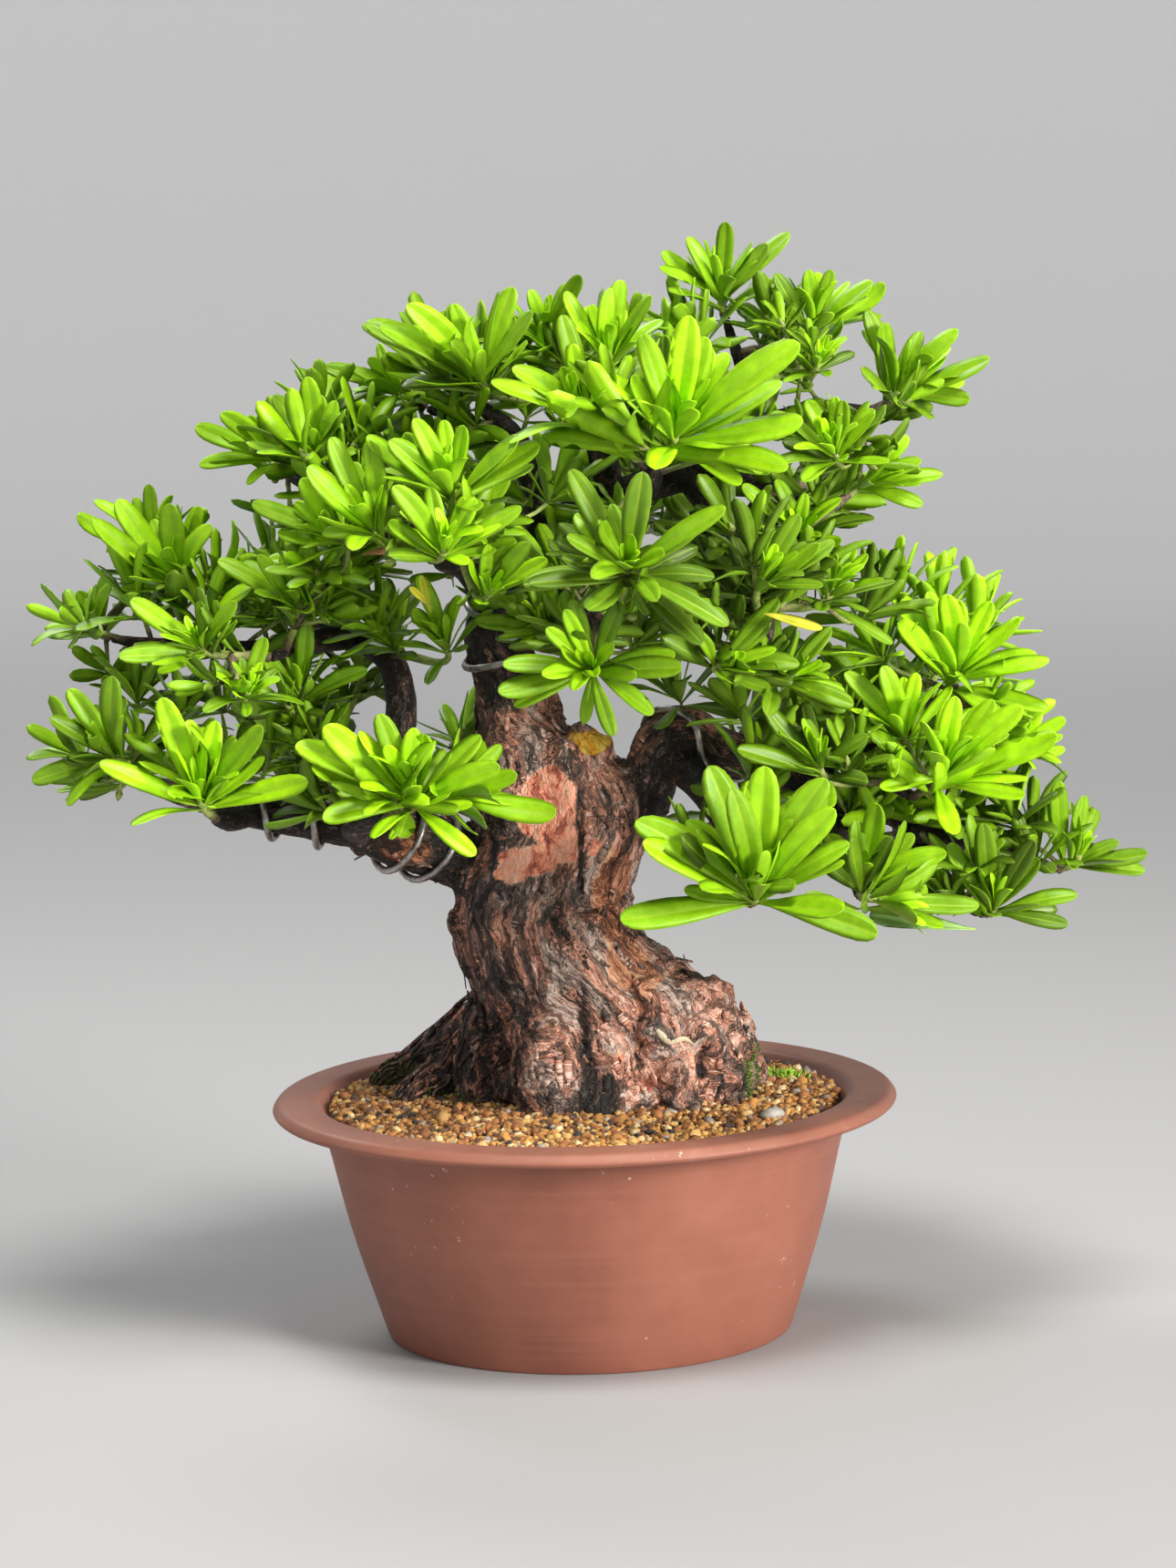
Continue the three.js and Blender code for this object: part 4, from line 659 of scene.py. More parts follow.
def clay_material():
    """Unglazed brown-red clay: a cloudy tone, faint turning marks, lime specks and a dusty rim."""
    s = Shader("clay")
    place = s.place()
    clouds = s.noise(place, 11, 5, 0.6)
    tone = s.ramp(clouds, [
        (0.3, (0.2, 0.067, 0.043)), (0.5, (0.275, 0.095, 0.06)), (0.7, (0.34, 0.124, 0.08))])
    turning = s.streaks(place, 3, 260, 3, 0.5)
    tone = s.cover(tone, s.step(turning, 0.4, 0.8), 0.35, (0.33, 0.13, 0.085))
    near_rim = s.step(s.split(place)[2], 0.108, 0.1152)
    dust = s.times(near_rim, s.step(s.noise(place, 30, 5, 0.65), 0.3, 0.8))
    tone = s.cover(tone, dust, 0.35, (0.36, 0.2, 0.145))
    runs = s.times(s.step(s.streaks(place, 40, 8, 4), 0.6, 0.78), s.step(s.noise(place, 7, 2), 0.5, 0.62))
    tone = s.cover(tone, runs, 0.28, (0.5, 0.36, 0.3))
    dots = s.step(s.noise(place, 240, 3, 0.7), 0.66, 0.72)
    tone = s.cover(tone, s.times(dots, s.step(s.noise(place, 16, 2), 0.56, 0.66)), 0.75, (0.66, 0.55, 0.47))
    relief = s.math("ADD", s.times(turning, 0.5), s.times(s.noise(place, 900, 3, 0.6), 0.25))
    s.set(Base_Color=tone, Roughness=s.levels(clouds, 0.46, 0.6), Specular_IOR_Level=0.4,
          Normal=s.bump(relief, 0.22, 0.0006))
    return s.material


def bark_material():
    """Podocarpus bark: papery flakes along the wood, nearly black, grey, red-brown and salmon."""
    s = Shader("bark")
    grain = s.attribute("grain", "Vector")
    tone, warm, moss = (s.attribute(name) for name in ("tone", "warm", "moss"))
    bent = s.warped(grain, 0.16, 7.0)
    laid = s.scaled(bent, (0.3, 0.3, 0.1))
    flake = s.split(s.cells(laid, "F1", "Color"))[0]
    cleft = s.cells(laid, "DISTANCE_TO_EDGE", "Distance")
    broad = s.streaks(bent, 0.05, 0.026, 3, 0.5)
    streaks = s.streaks(bent, 0.24, 0.045, 6, 0.65)
    fibres = s.streaks(bent, 1.1, 0.13, 5, 0.65)
    # Torn layers: between two contours of a noise lies one papery layer, pale at its edge, partly as a
    # painted highlight, and with painted shadow dark below it
    layer = s.math("FRACT", s.times(s.streaks(bent, 0.1, 0.034), 10))
    pale_edge_and_highlight = s.step(layer, 0.2, 0.0)
    under = s.step(layer, 0.8, 1.0)
    value = s.weighed(tone, 0.32, 0.5)
    for part, weight in ((flake, 0.42), (broad, 1.0), (streaks, 1.2), (fibres, 0.75), (layer, -0.2)):
        value = s.weighed(s.centred(part), weight, value)
    # The pale edge of each layer, partly a painted highlight, lifts the tone, and painted shadow darkens the
    # bark below it
    value = s.weighed(under, -0.26, s.weighed(pale_edge_and_highlight, 0.2, value))
    colour = s.ramp(value, [
        (0.05, (0.009, 0.007, 0.006)), (0.2, (0.035, 0.022, 0.018)), (0.34, (0.1, 0.056, 0.042)),
        (0.46, (0.23, 0.105, 0.07)), (0.57, (0.43, 0.175, 0.11)), (0.7, (0.68, 0.3, 0.2)),
        (0.88, (0.9, 0.56, 0.43))])
    grey = s.ramp(value, [
        (0.1, (0.02, 0.018, 0.017)), (0.42, (0.12, 0.094, 0.08)), (0.62, (0.3, 0.235, 0.2)),
        (0.85, (0.62, 0.53, 0.46))])
    inner = s.step(s.weighed(s.centred(streaks), 1.4, tone), 0.85, 1.15)
    weathered = s.times(s.step(s.streaks(bent, 0.08, 0.03), 0.46, 0.6), s.math("SUBTRACT", 1.0, inner))
    colour = s.cover(colour, weathered, 0.8, grey)
    # Inner bark: salmon with darker red-brown flames, with a little of the painted edge highlight and of the
    # painted shadow below each edge
    flames = s.weighed(pale_edge_and_highlight, 0.05, s.weighed(under, -0.06, s.streaks(bent, 0.17, 0.08)))
    salmon = s.ramp(flames, [
        (0.34, (0.22, 0.045, 0.03)), (0.42, (0.6, 0.14, 0.08)), (0.47, (1.0, 0.36, 0.21)),
        (0.66, (1.0, 0.56, 0.4))])
    colour = s.cover(colour, inner, 0.95, salmon)
    pale = s.times(s.step(fibres, 0.56, 0.7), s.step(streaks, 0.42, 0.62))
    colour = s.cover(colour, pale, 0.5, (0.5, 0.37, 0.28))
    orange = s.ramp(value, [
        (0.1, (0.04, 0.016, 0.008)), (0.4, (0.28, 0.09, 0.037)), (0.62, (0.68, 0.25, 0.1)),
        (0.88, (0.9, 0.46, 0.24))])
    colour = s.cover(colour, s.step(warm, 0.0, 1.0), 0.7, orange)
    scar = s.ramp(streaks, [(0.33, (0.6, 0.2, 0.02)), (0.45, (1.0, 0.48, 0.03)), (0.6, (1.0, 0.75, 0.12))])
    colour = s.cover(colour, s.step(warm, 1.2, 1.9), 0.92, scar)
    mossy = s.step(s.math("ADD", moss, s.times(s.noise(grain, 0.3, 5, 0.7), 1.1)), 1.0, 1.3)
    green = s.ramp(fibres, [(0.3, (0.02, 0.028, 0.008)), (0.7, (0.1, 0.13, 0.03))])
    colour = s.cover(colour, mossy, 0.7, green)
    plates = s.weighed(layer, -1.1, s.times(flake, 0.5))
    edges = s.times(s.step(cleft, 0.0, 0.08), 0.4)
    relief = s.math("ADD", s.math("ADD", plates, edges), s.math("ADD", streaks, s.times(fibres, 0.6)))
    s.set(Base_Color=colour, Roughness=s.levels(fibres, 0.5, 0.85), Specular_IOR_Level=0.4,
          Normal=s.bump(relief, 0.85, 0.0013))
    return s.material


def leaf_material():
    """A leathery blade: its own green, a paler midrib, a paler edge that is partly a painted highlight, and
    a dull pale underside.
    """
    s = Shader("leaf")
    tint = s.attribute("tint", "Vector")
    blade = s.attribute("blade", "Vector")
    across, along, face = s.split(blade)
    reach = s.math("ABSOLUTE", across)
    mottle = s.noise(s.place(), 160, 3, 0.6)
    dark, light = s.scaled(tint, (0.8, 0.84, 0.8)), s.scaled(tint, (1.15, 1.08, 1.1))
    colour = s.blend(s.step(mottle, 0.3, 0.8), dark, light)
    midrib, edge = s.step(reach, 0.16, 0.03), s.step(reach, 0.8, 1.0)
    foot, underside = s.step(along, 0.16, 0.0), s.step(face, -0.2, -0.6)
    # The paler edge is partly a painted highlight along the blade's margin
    for mask, share, other in ((midrib, 0.36, (0.36, 0.5, 0.03)), (edge, 0.22, (0.4, 0.56, 0.04)),
                               (foot, 0.5, (0.36, 0.4, 0.06)), (underside, 0.45, (0.2, 0.36, 0.03))):
        colour = s.cover(colour, mask, share, other)
    veins = s.noise(s.scaled(blade, (7, 2.5, 1)), 1, 3)
    s.set(Base_Color=colour, Roughness=s.math("ADD", 0.3, s.times(mottle, 0.22)), Specular_IOR_Level=0.28,
          Normal=s.bump(veins, 0.12, 0.0004))
    return s.material


def twig_material():
    """Young shoots: green at the whorl, brown and rough towards the branch."""
    s = Shader("twig")
    scars = s.noise(s.place(), 420, 4, 0.65)
    young = s.ramp(scars, [(0.3, (0.17, 0.24, 0.04)), (0.7, (0.42, 0.48, 0.13))])
    old = s.ramp(scars, [
        (0.3, (0.03, 0.02, 0.014)), (0.55, (0.13, 0.085, 0.055)), (0.8, (0.32, 0.25, 0.17))])
    colour = s.blend(s.step(s.attribute("age"), 0.4, 0.9), young, old)
    s.set(Base_Color=colour, Roughness=0.7, Normal=s.bump(scars, 0.7, 0.0008))
    return s.material


def soil_material():
    """Loose fired-clay grains, each with its own tone."""
    s = Shader("soil")
    tint = s.attribute("tint", "Vector")
    pits = s.noise(s.place(), 1500, 4, 0.65)
    dark, light = s.scaled(tint, (0.62, 0.58, 0.55)), s.scaled(tint, (1.2, 1.2, 1.25))
    s.set(Base_Color=s.blend(s.step(pits, 0.3, 0.75), dark, light), Roughness=0.88,
          Normal=s.bump(pits, 0.5, 0.0004))
    return s.material


def wire_material():
    """Dull brown-grey training wire, scuffed along its length."""
    s = Shader("wire")
    scuffs = s.noise(s.place(), 260, 5, 0.6)
    colour = s.ramp(scuffs, [(0.35, (0.2, 0.18, 0.165)), (0.7, (0.55, 0.52, 0.5))])
    s.set(Base_Color=colour, Metallic=0.85, Roughness=s.levels(scuffs, 0.32, 0.5),
          Normal=s.bump(scuffs, 0.2, 0.0003))
    return s.material


def pale_material(name, tones):
    """Something pale and dull, in three cloudy tones."""
    s = Shader(name)
    clouds = s.noise(s.place(), 220, 5, 0.6)
    s.set(Base_Color=s.ramp(clouds, list(zip((0.3, 0.6, 0.8), tones))), Roughness=0.75,
          Normal=s.bump(clouds, 0.4, 0.0008))
    return s.material


CLAY = clay_material()
BARK = bark_material()
LEAF = leaf_material()
TWIG = twig_material()
GRAINS = soil_material()
WIRE = wire_material()
STONE = pale_material("stone", [(0.26, 0.24, 0.21), (0.46, 0.43, 0.38), (0.6, 0.58, 0.53)])
CHIP = pale_material("pale_chip", [(0.42, 0.34, 0.2), (0.68, 0.6, 0.42), (0.8, 0.74, 0.58)])


# Pot
def inner_radius(z):
    """The inside radius of the pot at a height."""
    floor_radius = POT["foot"] - POT["wall"] + 3
    neck_inside = POT["neck"] - POT["wall"] + 1.5
    neck_height = POT["neck_height"]
    if z <= neck_height:
        return mix(floor_radius, neck_inside, (z - POT["floor"]) / (neck_height - POT["floor"]))
    flare = (z - neck_height) / (POT["height"] - neck_height)
    return mix(neck_inside, POT["rim"] - POT["rim_width"], flare * flare)


def rounded(corners, steps=6):
    """An outline of corners as (radius, height, rounding), each turned in a short arc."""
    outline = []
    corners = [(np.array(corner[:2], float), corner[2]) for corner in corners]
    for i, (corner, rounding) in enumerate(corners):
        before, after = corners[i - 1][0], corners[(i + 1) % len(corners)][0]
        reach = min(rounding, 0.45 * np.linalg.norm(before - corner), 0.45 * np.linalg.norm(after - corner))
        start = corner + unit(before - corner) * reach
        end = corner + unit(after - corner) * reach
        for t in np.linspace(0, 1, steps):
            outline.append((1 - t)**2 * start + 2 * t * (1 - t) * corner + t**2 * end)
    return np.array(outline)


def add_pot():
    """The pot, turned round its axis from one outline."""
    height, floor, foot_height = POT["height"], POT["floor"], POT["foot_height"]
    rim, neck, foot = POT["rim"], POT["neck"], POT["foot"]
    lip, foot_inside = height - POT["lip"], foot - POT["foot_width"]
    outline = rounded([
        (POT["drain"], foot_height, 1.5), (foot_inside, foot_height, 2), (foot_inside + 1, 0, 1.5),
        (foot - 1, 0, 1.5), (foot, 2, 2), (mix(foot, neck, 0.6), 52, 30), (neck - 1, 94, 24),
        (neck + 3, lip - 3, 6), (neck + 10, lip, 5), (rim - 2, lip, 2.2), (rim, mix(lip, height, 0.35), 2.6),
        (rim - 3, height, 2.6), (rim - POT["rim_width"], height, 2.5),
        (inner_radius(POT["neck_height"]), POT["neck_height"], 6), (inner_radius(floor), floor, 5),
        (POT["drain"], floor, 1.5),
    ])
    angles = circle(224)
    # Thrown by hand, so a hair out of round
    wobble = 1 + 0.0012 * np.sin(2 * angles + 0.6) + 0.0008 * np.sin(5 * angles + 2)
    rings = turned_rings(outline[:, 0], outline[:, 1], angles, wobble)
    index, _ = ring_walls(*rings.shape[:2])
    after = np.roll(index, -1, axis=1)
    walls = np.stack([index, after, np.roll(after, -1, axis=0), np.roll(index, -1, axis=0)], axis=-1)
    add_piece("clay_pot", (rings.reshape(-1, 3), [walls.reshape(-1, 4)]), [CLAY], ["pot"])


# Wood: where the bark differs, as centre and half sizes of ellipsoids
BARE_PATCHES = [
    ([-13, -40, 259], [15, 24, 18]), ([-8, -38, 240], [10, 20, 10]), ([8, -38, 238], [3, 14, 6]),
    ([-22, -38, 233], [15, 22, 7]), ([-31, -36, 227], [8, 18, 5]),
]
PINK_PATCHES = [
    ([-78, -38, 238], [12, 16, 9]), ([14, -34, 276], [13, 20, 10]), ([-26, -26, 300], [10, 20, 10]),
    ([12, -46, 142], [13, 16, 16]), ([42, -42, 133], [18, 18, 13]), ([-14, -50, 137], [8, 14, 8]),
    ([50, -36, 160], [22, 22, 12]), ([73, -18, 152], [16, 30, 16]), ([-14, -44, 186], [9, 14, 18]),
    ([10, -44, 186], [10, 14, 16]), ([28, -44, 116], [18, 18, 10]), ([34, -30, 176], [18, 24, 10]),
]
WARM_PATCHES = [
    ([20, -38, 212], [13, 22, 26]), ([28, -40, 188], [16, 22, 20]), ([-82, -40, 243], [13, 20, 11]),
]
SCAR_PATCHES = [([9, -22, 286], [12, 26, 6])]
# Dark bark, and painted shadow under the knuckles where the foot meets the soil and in the creases between
# them
DARK_BARK_AND_SHADOW_PATCHES = [
    ([-58, -14, 222], [15, 50, 60]), ([-50, -20, 150], [12, 40, 30]), ([-5, -46, 209], [9, 12, 14]),
    ([-30, -8, 322], [16, 30, 24]), ([-34, 0, 352], [24, 40, 44]), ([-42, -36, 250], [9, 20, 22]),
    ([32, -30, 250], [8, 26, 18]), ([0, -48, 162], [3, 14, 14]), ([-34, -42, 120], [18, 24, 8]),
    ([0, -54, 120], [4, 14, 6]), ([10, -50, 114], [60, 30, 3]), ([-22, -52, 118], [20, 20, 8]),
    ([2, -54, 138], [3.5, 16, 12]),
]
# Painted shade: a lighter darkening over parts of the foot and the lower trunk
PAINTED_SHADE_PATCHES = [
    ([-36, -42, 166], [22, 26, 26]), ([-40, -36, 132], [20, 26, 16]), ([0, -52, 146], [8, 18, 12]),
    ([72, -24, 138], [18, 34, 26]), ([-16, -56, 138], [14, 12, 12]),
]
MOSS_PATCHES = [
    ([84, -16, 120], [8, 20, 16]), ([-88, 34, 118], [20, 24, 8]), ([-62, -8, 114], [14, 20, 5]),
    ([0, 90, 116], [60, 20, 12]),
]
# Clefts between the knuckles: dug into the wood, and painted near black as shade
SHADED_CLEFTS = [
    ([2, -40, 240], [2.0, 16, 35]), ([0, -44, 160], [1.8, 14, 14]), ([-31, -46, 136], [1.6, 14, 12]),
    ([4, -52, 130], [1.6, 12, 10]), ([27, -50, 140], [1.4, 14, 10]), ([-27, -44, 262], [1.1, 14, 10]),
    ([56, -44, 134], [1.4, 16, 10]),
]
# The closed-over knot on the front: x, z and half sizes of its diamond, and how high its rim stands
KNOT = {"place": (-4, 209), "half": (10, 14), "front": -20, "rim": 1.1, "rim_width": 0.16, "tone": 0.0}
# Swellings of the foot and of the thick place under the left branch: place and radius
KNOBS = [
    (-15, -40, 139, 17), (-31, -33, 124, 12), (8, -42, 143, 13), (14, -44, 124, 11), (36, -38, 150, 13),
    (42, -40, 129, 14), (56, -30, 142, 15), (66, -24, 124, 16), (50, -20, 160, 15), (70, -4, 146, 13),
    (26, -42, 118, 10), (-4, -44, 120, 10), (72, 10, 138, 14), (-44, -8, 132, 14), (-10, -34, 168, 14),
    (-82, -27, 241, 13), (-74, -32, 237, 8), (-102, -37, 242, 6), (-52, -14, 222, 11), (-55, -4, 200, 10),
    (7, -6, 280, 13.5), (2, -10, 286, 9), (-24, -40, 112, 11), (20, -50, 112, 9), (46, -44, 113, 11),
    (62, -14, 160, 13), (34, -32, 168, 12),
]
# How the wood is fused; the girths between which a limb turns from black to brown; the heights between which
# the trunk becomes the foot, and how much shorter the grain is there
WOOD = {"voxel": 2.05, "quick_voxel": 3.2, "smoothing": 3, "step": 4, "sides": 24, "black_girth": (9, 20),
        "limb_apart": 61, "foot": (190, 130), "foot_stretch": 0.9}
# How far the bark's relief stands out, where there are two on the trunk and at the foot, and its layers
RELIEF = {"folds": (2.6, 0.6), "knobs": (1.6, 3.0), "small_knobs": (0.8, 2.0), "plates": 3.6, "layers": 4,
          "fine": 0.9, "cleft": 2.4, "full_girth": 28, "least": 0.12}
# The bark's noises: how far apart their lumps lie, with the way along the wood last, and their seeds
BARK_NOISE = {"folds": ([15, 15, 80], 8), "knobs": (17, 5), "small_knobs": (8, 6), "layers": ([9, 9, 40], 3),
              "thin_layers": ([4.2, 4.2, 18], 4), "fine": ([2.4, 2.4, 8], 7)}
SHARDS = {"count": 480, "lowest": 114, "highest": 330, "girth": 9, "length": (4, 13), "width": (1.3, 4.2),
          "lift": (0.3, 2.4), "thickness": 0.5, "tones": [-0.5, -0.2, 0.1, 0.4]}
ROOTLETS = {"count": 150, "steps": 14, "sides": 6, "radius": (0.45, 1.2), "tone": -0.5, "moss": 0.2,
            "roots": ["left_back", "left", "left_under", "left_front"]}


def behind_point(x, y, z):
    """Where a point in front of the trunk comes again behind it."""
    return [0.92 * x + 6, 22 - 0.86 * y, z - 5]


def all_branches():
    """The points of every branch, twins included."""
    branches = []
    draw = seeded_draw(21)
    for has_twin, rows in BRANCHES.values():
        branches.append(rows)
        if has_twin:
            aside, lift = (draw() - 0.5) * 18, (draw() - 0.5) * 18
            twin = [rows[0]]
            for i, (x, y, z, radius) in enumerate(rows[1:], 1):
                share = i / (len(rows) - 1)
                bx, by, bz = behind_point(x, y, z)
                twin.append([bx + aside * share, by, bz + lift * share, radius])
            branches.append(twin)
    return branches


def trunk_block():
    """The trunk's body, through its rings."""
    rows = np.arange(0, len(TRUNK_RINGS) - 1 + 0.01, 0.2)
    at = [np.interp(rows, np.arange(len(TRUNK_RINGS)), TRUNK_RINGS[:, k]) for k in range(6)]
    level, left, right, front, back, slope = (column[:, None] for column in at)
    angles = circle(72)[None]
    lobes = TRUNK_LOBES
    turn = lobes["count"] * angles + lobes["phase"] + rows[:, None] * lobes["twist"]
    swell = 1 + lobes["share"] * np.cos(turn)
    x = (right - left) / 2 * swell * np.cos(angles)
    y = (back - front) / 2 * swell * np.sin(angles)
    return loft(np.stack([(left + right) / 2 + x, (front + back) / 2 + y, level + slope * x], axis=-1))


def skeleton():
    """Points along every limb: place, radius, its three directions, the way travelled, its own number."""
    rows = []
    _, left, right, front, back, _ = TRUNK_RINGS.T
    girth = (right - left + back - front) / 4
    centre = np.stack([(left + right) / 2, (front + back) / 2, TRUNK_RINGS[:, 0], girth], axis=1)
    for number, points in enumerate([centre, *ROOTS.values(), *all_branches()]):
        line, radii = even_line(points, 3, 6)
        aside = np.full(len(line), WOOD["limb_apart"] * number)
        rows.append(np.column_stack([line, radii, *cross_frames(line), lengths_along(line), aside]))
    return np.concatenate(rows)


def grain_places(points, bones, batch=4000):
    """Each point's place in its limb's own directions, so that noise can run along the wood."""
    grain = np.empty_like(points)
    girth = np.empty(len(points))
    for start in range(0, len(points), batch):
        part = points[start:start + batch]
        nearness = np.linalg.norm(part[:, None] - bones[None, :, :3], axis=2) / bones[None, :, 3]
        bone = bones[nearness.argmin(axis=1)]
        offset = part - bone[:, :3]
        along, side, up = bone[:, 4:7], bone[:, 7:10], bone[:, 10:13]
        grain[start:start + batch, 0] = (offset * side).sum(1) + bone[:, 14]
        grain[start:start + batch, 1] = (offset * up).sum(1)
        grain[start:start + batch, 2] = (offset * along).sum(1) + bone[:, 13]
        girth[start:start + batch] = bone[:, 3]
    return grain, girth


def fused(block, voxel, smoothing):
    """Overlapping closed skins made into one, with its joints softened: points, faces and normals."""
    lump = make_object("fusing", make_mesh("fusing", block[0] * MM, block[1]))
    remesh = lump.modifiers.new("fuse", "REMESH")
    remesh.mode = "VOXEL"
    remesh.voxel_size = voxel * MM
    soften = lump.modifiers.new("soften", "SMOOTH")
    soften.factor = 0.5
    soften.iterations = smoothing
    graph = bpy.context.evaluated_depsgraph_get()
    result = lump.evaluated_get(graph).to_mesh()
    points, normals = (np.empty(len(result.vertices) * 3, np.float32) for _ in range(2))
    result.vertices.foreach_get("co", points)
    result.vertices.foreach_get("normal", normals)
    faces = [np.array([tuple(face.vertices) for face in result.polygons if len(face.vertices) == corners])
             for corners in (4, 3)]
    lump.to_mesh_clear()
    bpy.data.objects.remove(lump)
    return (points.reshape(-1, 3).astype(float) / MM, [part for part in faces if len(part)],
            normals.reshape(-1, 3).astype(float))


def wood_skin():
    """Trunk, roots, branches and swellings as one skin: points, faces and normals."""
    blocks = [trunk_block()]
    for rows in [*ROOTS.values(), *all_branches()]:
        line, radii = even_line(rows, WOOD["step"], 8)
        blocks.append(tube(line, radii, WOOD["sides"]))
    ball, ball_faces = icosahedron()
    blocks.extend((ball * radius + np.array([x, y, z]), [ball_faces]) for x, y, z, radius in KNOBS)
    return fused(join(blocks), WOOD["voxel"], WOOD["smoothing"])


def patch(points, places):
    """How strongly each point lies in a list of ellipsoids as centre, half sizes."""
    value = np.zeros(len(points))
    for centre, half in places:
        reach = np.linalg.norm((points - np.array(centre)) / np.array(half), axis=1)
        value = np.maximum(value, smooth_step(1.12, 0.88, reach))
    return value


def knot_reach(points):
    """0 at the middle of the knot, 1 on its rim and more outside it."""
    (x, z), (half_width, half_height) = KNOT["place"], KNOT["half"]
    reach = np.abs(points[:, 0] - x) / half_width + np.abs(points[:, 2] - z) / half_height
    return np.where(points[:, 1] < KNOT["front"], reach, 9)


def relief_share(girth):
    """Relief is smaller on thinner wood."""
    return np.clip(girth / RELIEF["full_girth"], RELIEF["least"], 1)


def wood_relief(points, grain, girth, low, shaded_clefts, bare):
    """How far the bark stands out at each point, and how high it lies in its layers from 0 to 1."""
    folds = noise_at(grain, *BARK_NOISE["folds"]) * mix(*RELIEF["folds"], low)
    knobs = noise_at(points, *BARK_NOISE["knobs"]) * mix(*RELIEF["knobs"], low)
    knobs += noise_at(points, *BARK_NOISE["small_knobs"]) * mix(*RELIEF["small_knobs"], low)
    layer = 0.5 + 0.62 * noise_at(grain, *BARK_NOISE["layers"])
    layer = layer + 0.38 * noise_at(grain, *BARK_NOISE["thin_layers"])
    steps = layer * RELIEF["layers"]
    terrace = (np.floor(steps) + smooth_step(0.5, 1.0, steps % 1)) / RELIEF["layers"]
    plates = (terrace - 0.5) * RELIEF["plates"] * (1 - 0.5 * bare)
    plates += noise_at(grain, *BARK_NOISE["fine"]) * RELIEF["fine"]
    knot = KNOT["rim"] * np.exp(-((knot_reach(points) - 1) / KNOT["rim_width"])**2)
    relief = folds + knobs + plates + knot - bare - RELIEF["cleft"] * shaded_clefts
    return relief * relief_share(girth), layer


def shard_blocks(points, normals, grain, girth, bones, smooth, rng):
    """Loose flakes of bark, thin strips that lie along the wood and lift at one end: the blocks, the places
    of their corners in the grain, and the point that each starts from."""
    choice = np.flatnonzero((points[:, 2] > SHARDS["lowest"]) & (points[:, 2] < SHARDS["highest"])
                            & (girth > SHARDS["girth"]) & (smooth < 0.1))
    blocks, places = [], []
    shares = np.array([0, 0.3, 0.65, 1.0])
    taper = np.array([0.55, 1.0, 0.9, 0.35])
    chosen = rng.choice(choice, SHARDS["count"] // (1), replace=False)
    for i in chosen:
        bone = bones[np.linalg.norm((points[i] - bones[:, :3]) / bones[:, 3:4], axis=1).argmin()]
        normal = normals[i]
        along = unit(bone[4:7] - normal * normal.dot(bone[4:7]) + 0.25 * rng.normal(size=3))
        along = unit(along - normal * normal.dot(along)) * rng.choice([-1, 1])
        across = np.cross(normal, along)
        length, width, lift = (rng.uniform(*SHARDS[key]) for key in ("length", "width", "lift"))
        middle = points[i] + normal * 0.1 + np.outer((shares - 0.3) * length, along)
        middle += np.outer(shares**2 * lift, normal) + np.outer(rng.normal(0, 0.25, 4), across)
        edge = np.outer(taper * width / 2, across)
        thick = normal * SHARDS["thickness"]
        blocks.append(loft(np.stack(
            [middle - edge, middle + edge, middle + edge - thick, middle - edge - thick], axis=1)))
        place = np.repeat(grain[i:i + 1], 16, axis=0)
        place[:, 2] += np.repeat(shares * length, 4)
        places.append(place)
    return blocks, places, chosen


def rootlet_blocks(rng):
    """The mat of fine roots over the mass that runs down to the soil on the left."""
    blocks = []
    for _ in range(ROOTLETS["count"] // (1)):
        line, radii = catmull_line(ROOTS[rng.choice(ROOTLETS["roots"])], ROOTLETS["steps"])
        start = rng.integers(0, 6)
        line, radii = line[start:], radii[start:]
        angle = rng.uniform(0, 2 * math.pi) + np.cumsum(rng.normal(0, 0.22, len(line)))
        reach = radii * 1.02 + 0.3 + np.abs(np.cumsum(rng.normal(0, 0.25, len(line))))
        radius = rng.uniform(*ROOTLETS["radius"]) * np.linspace(1, 0.5, len(line))
        blocks.append(tube(wound_round(line, reach, angle), radius, ROOTLETS["sides"]))
    return blocks


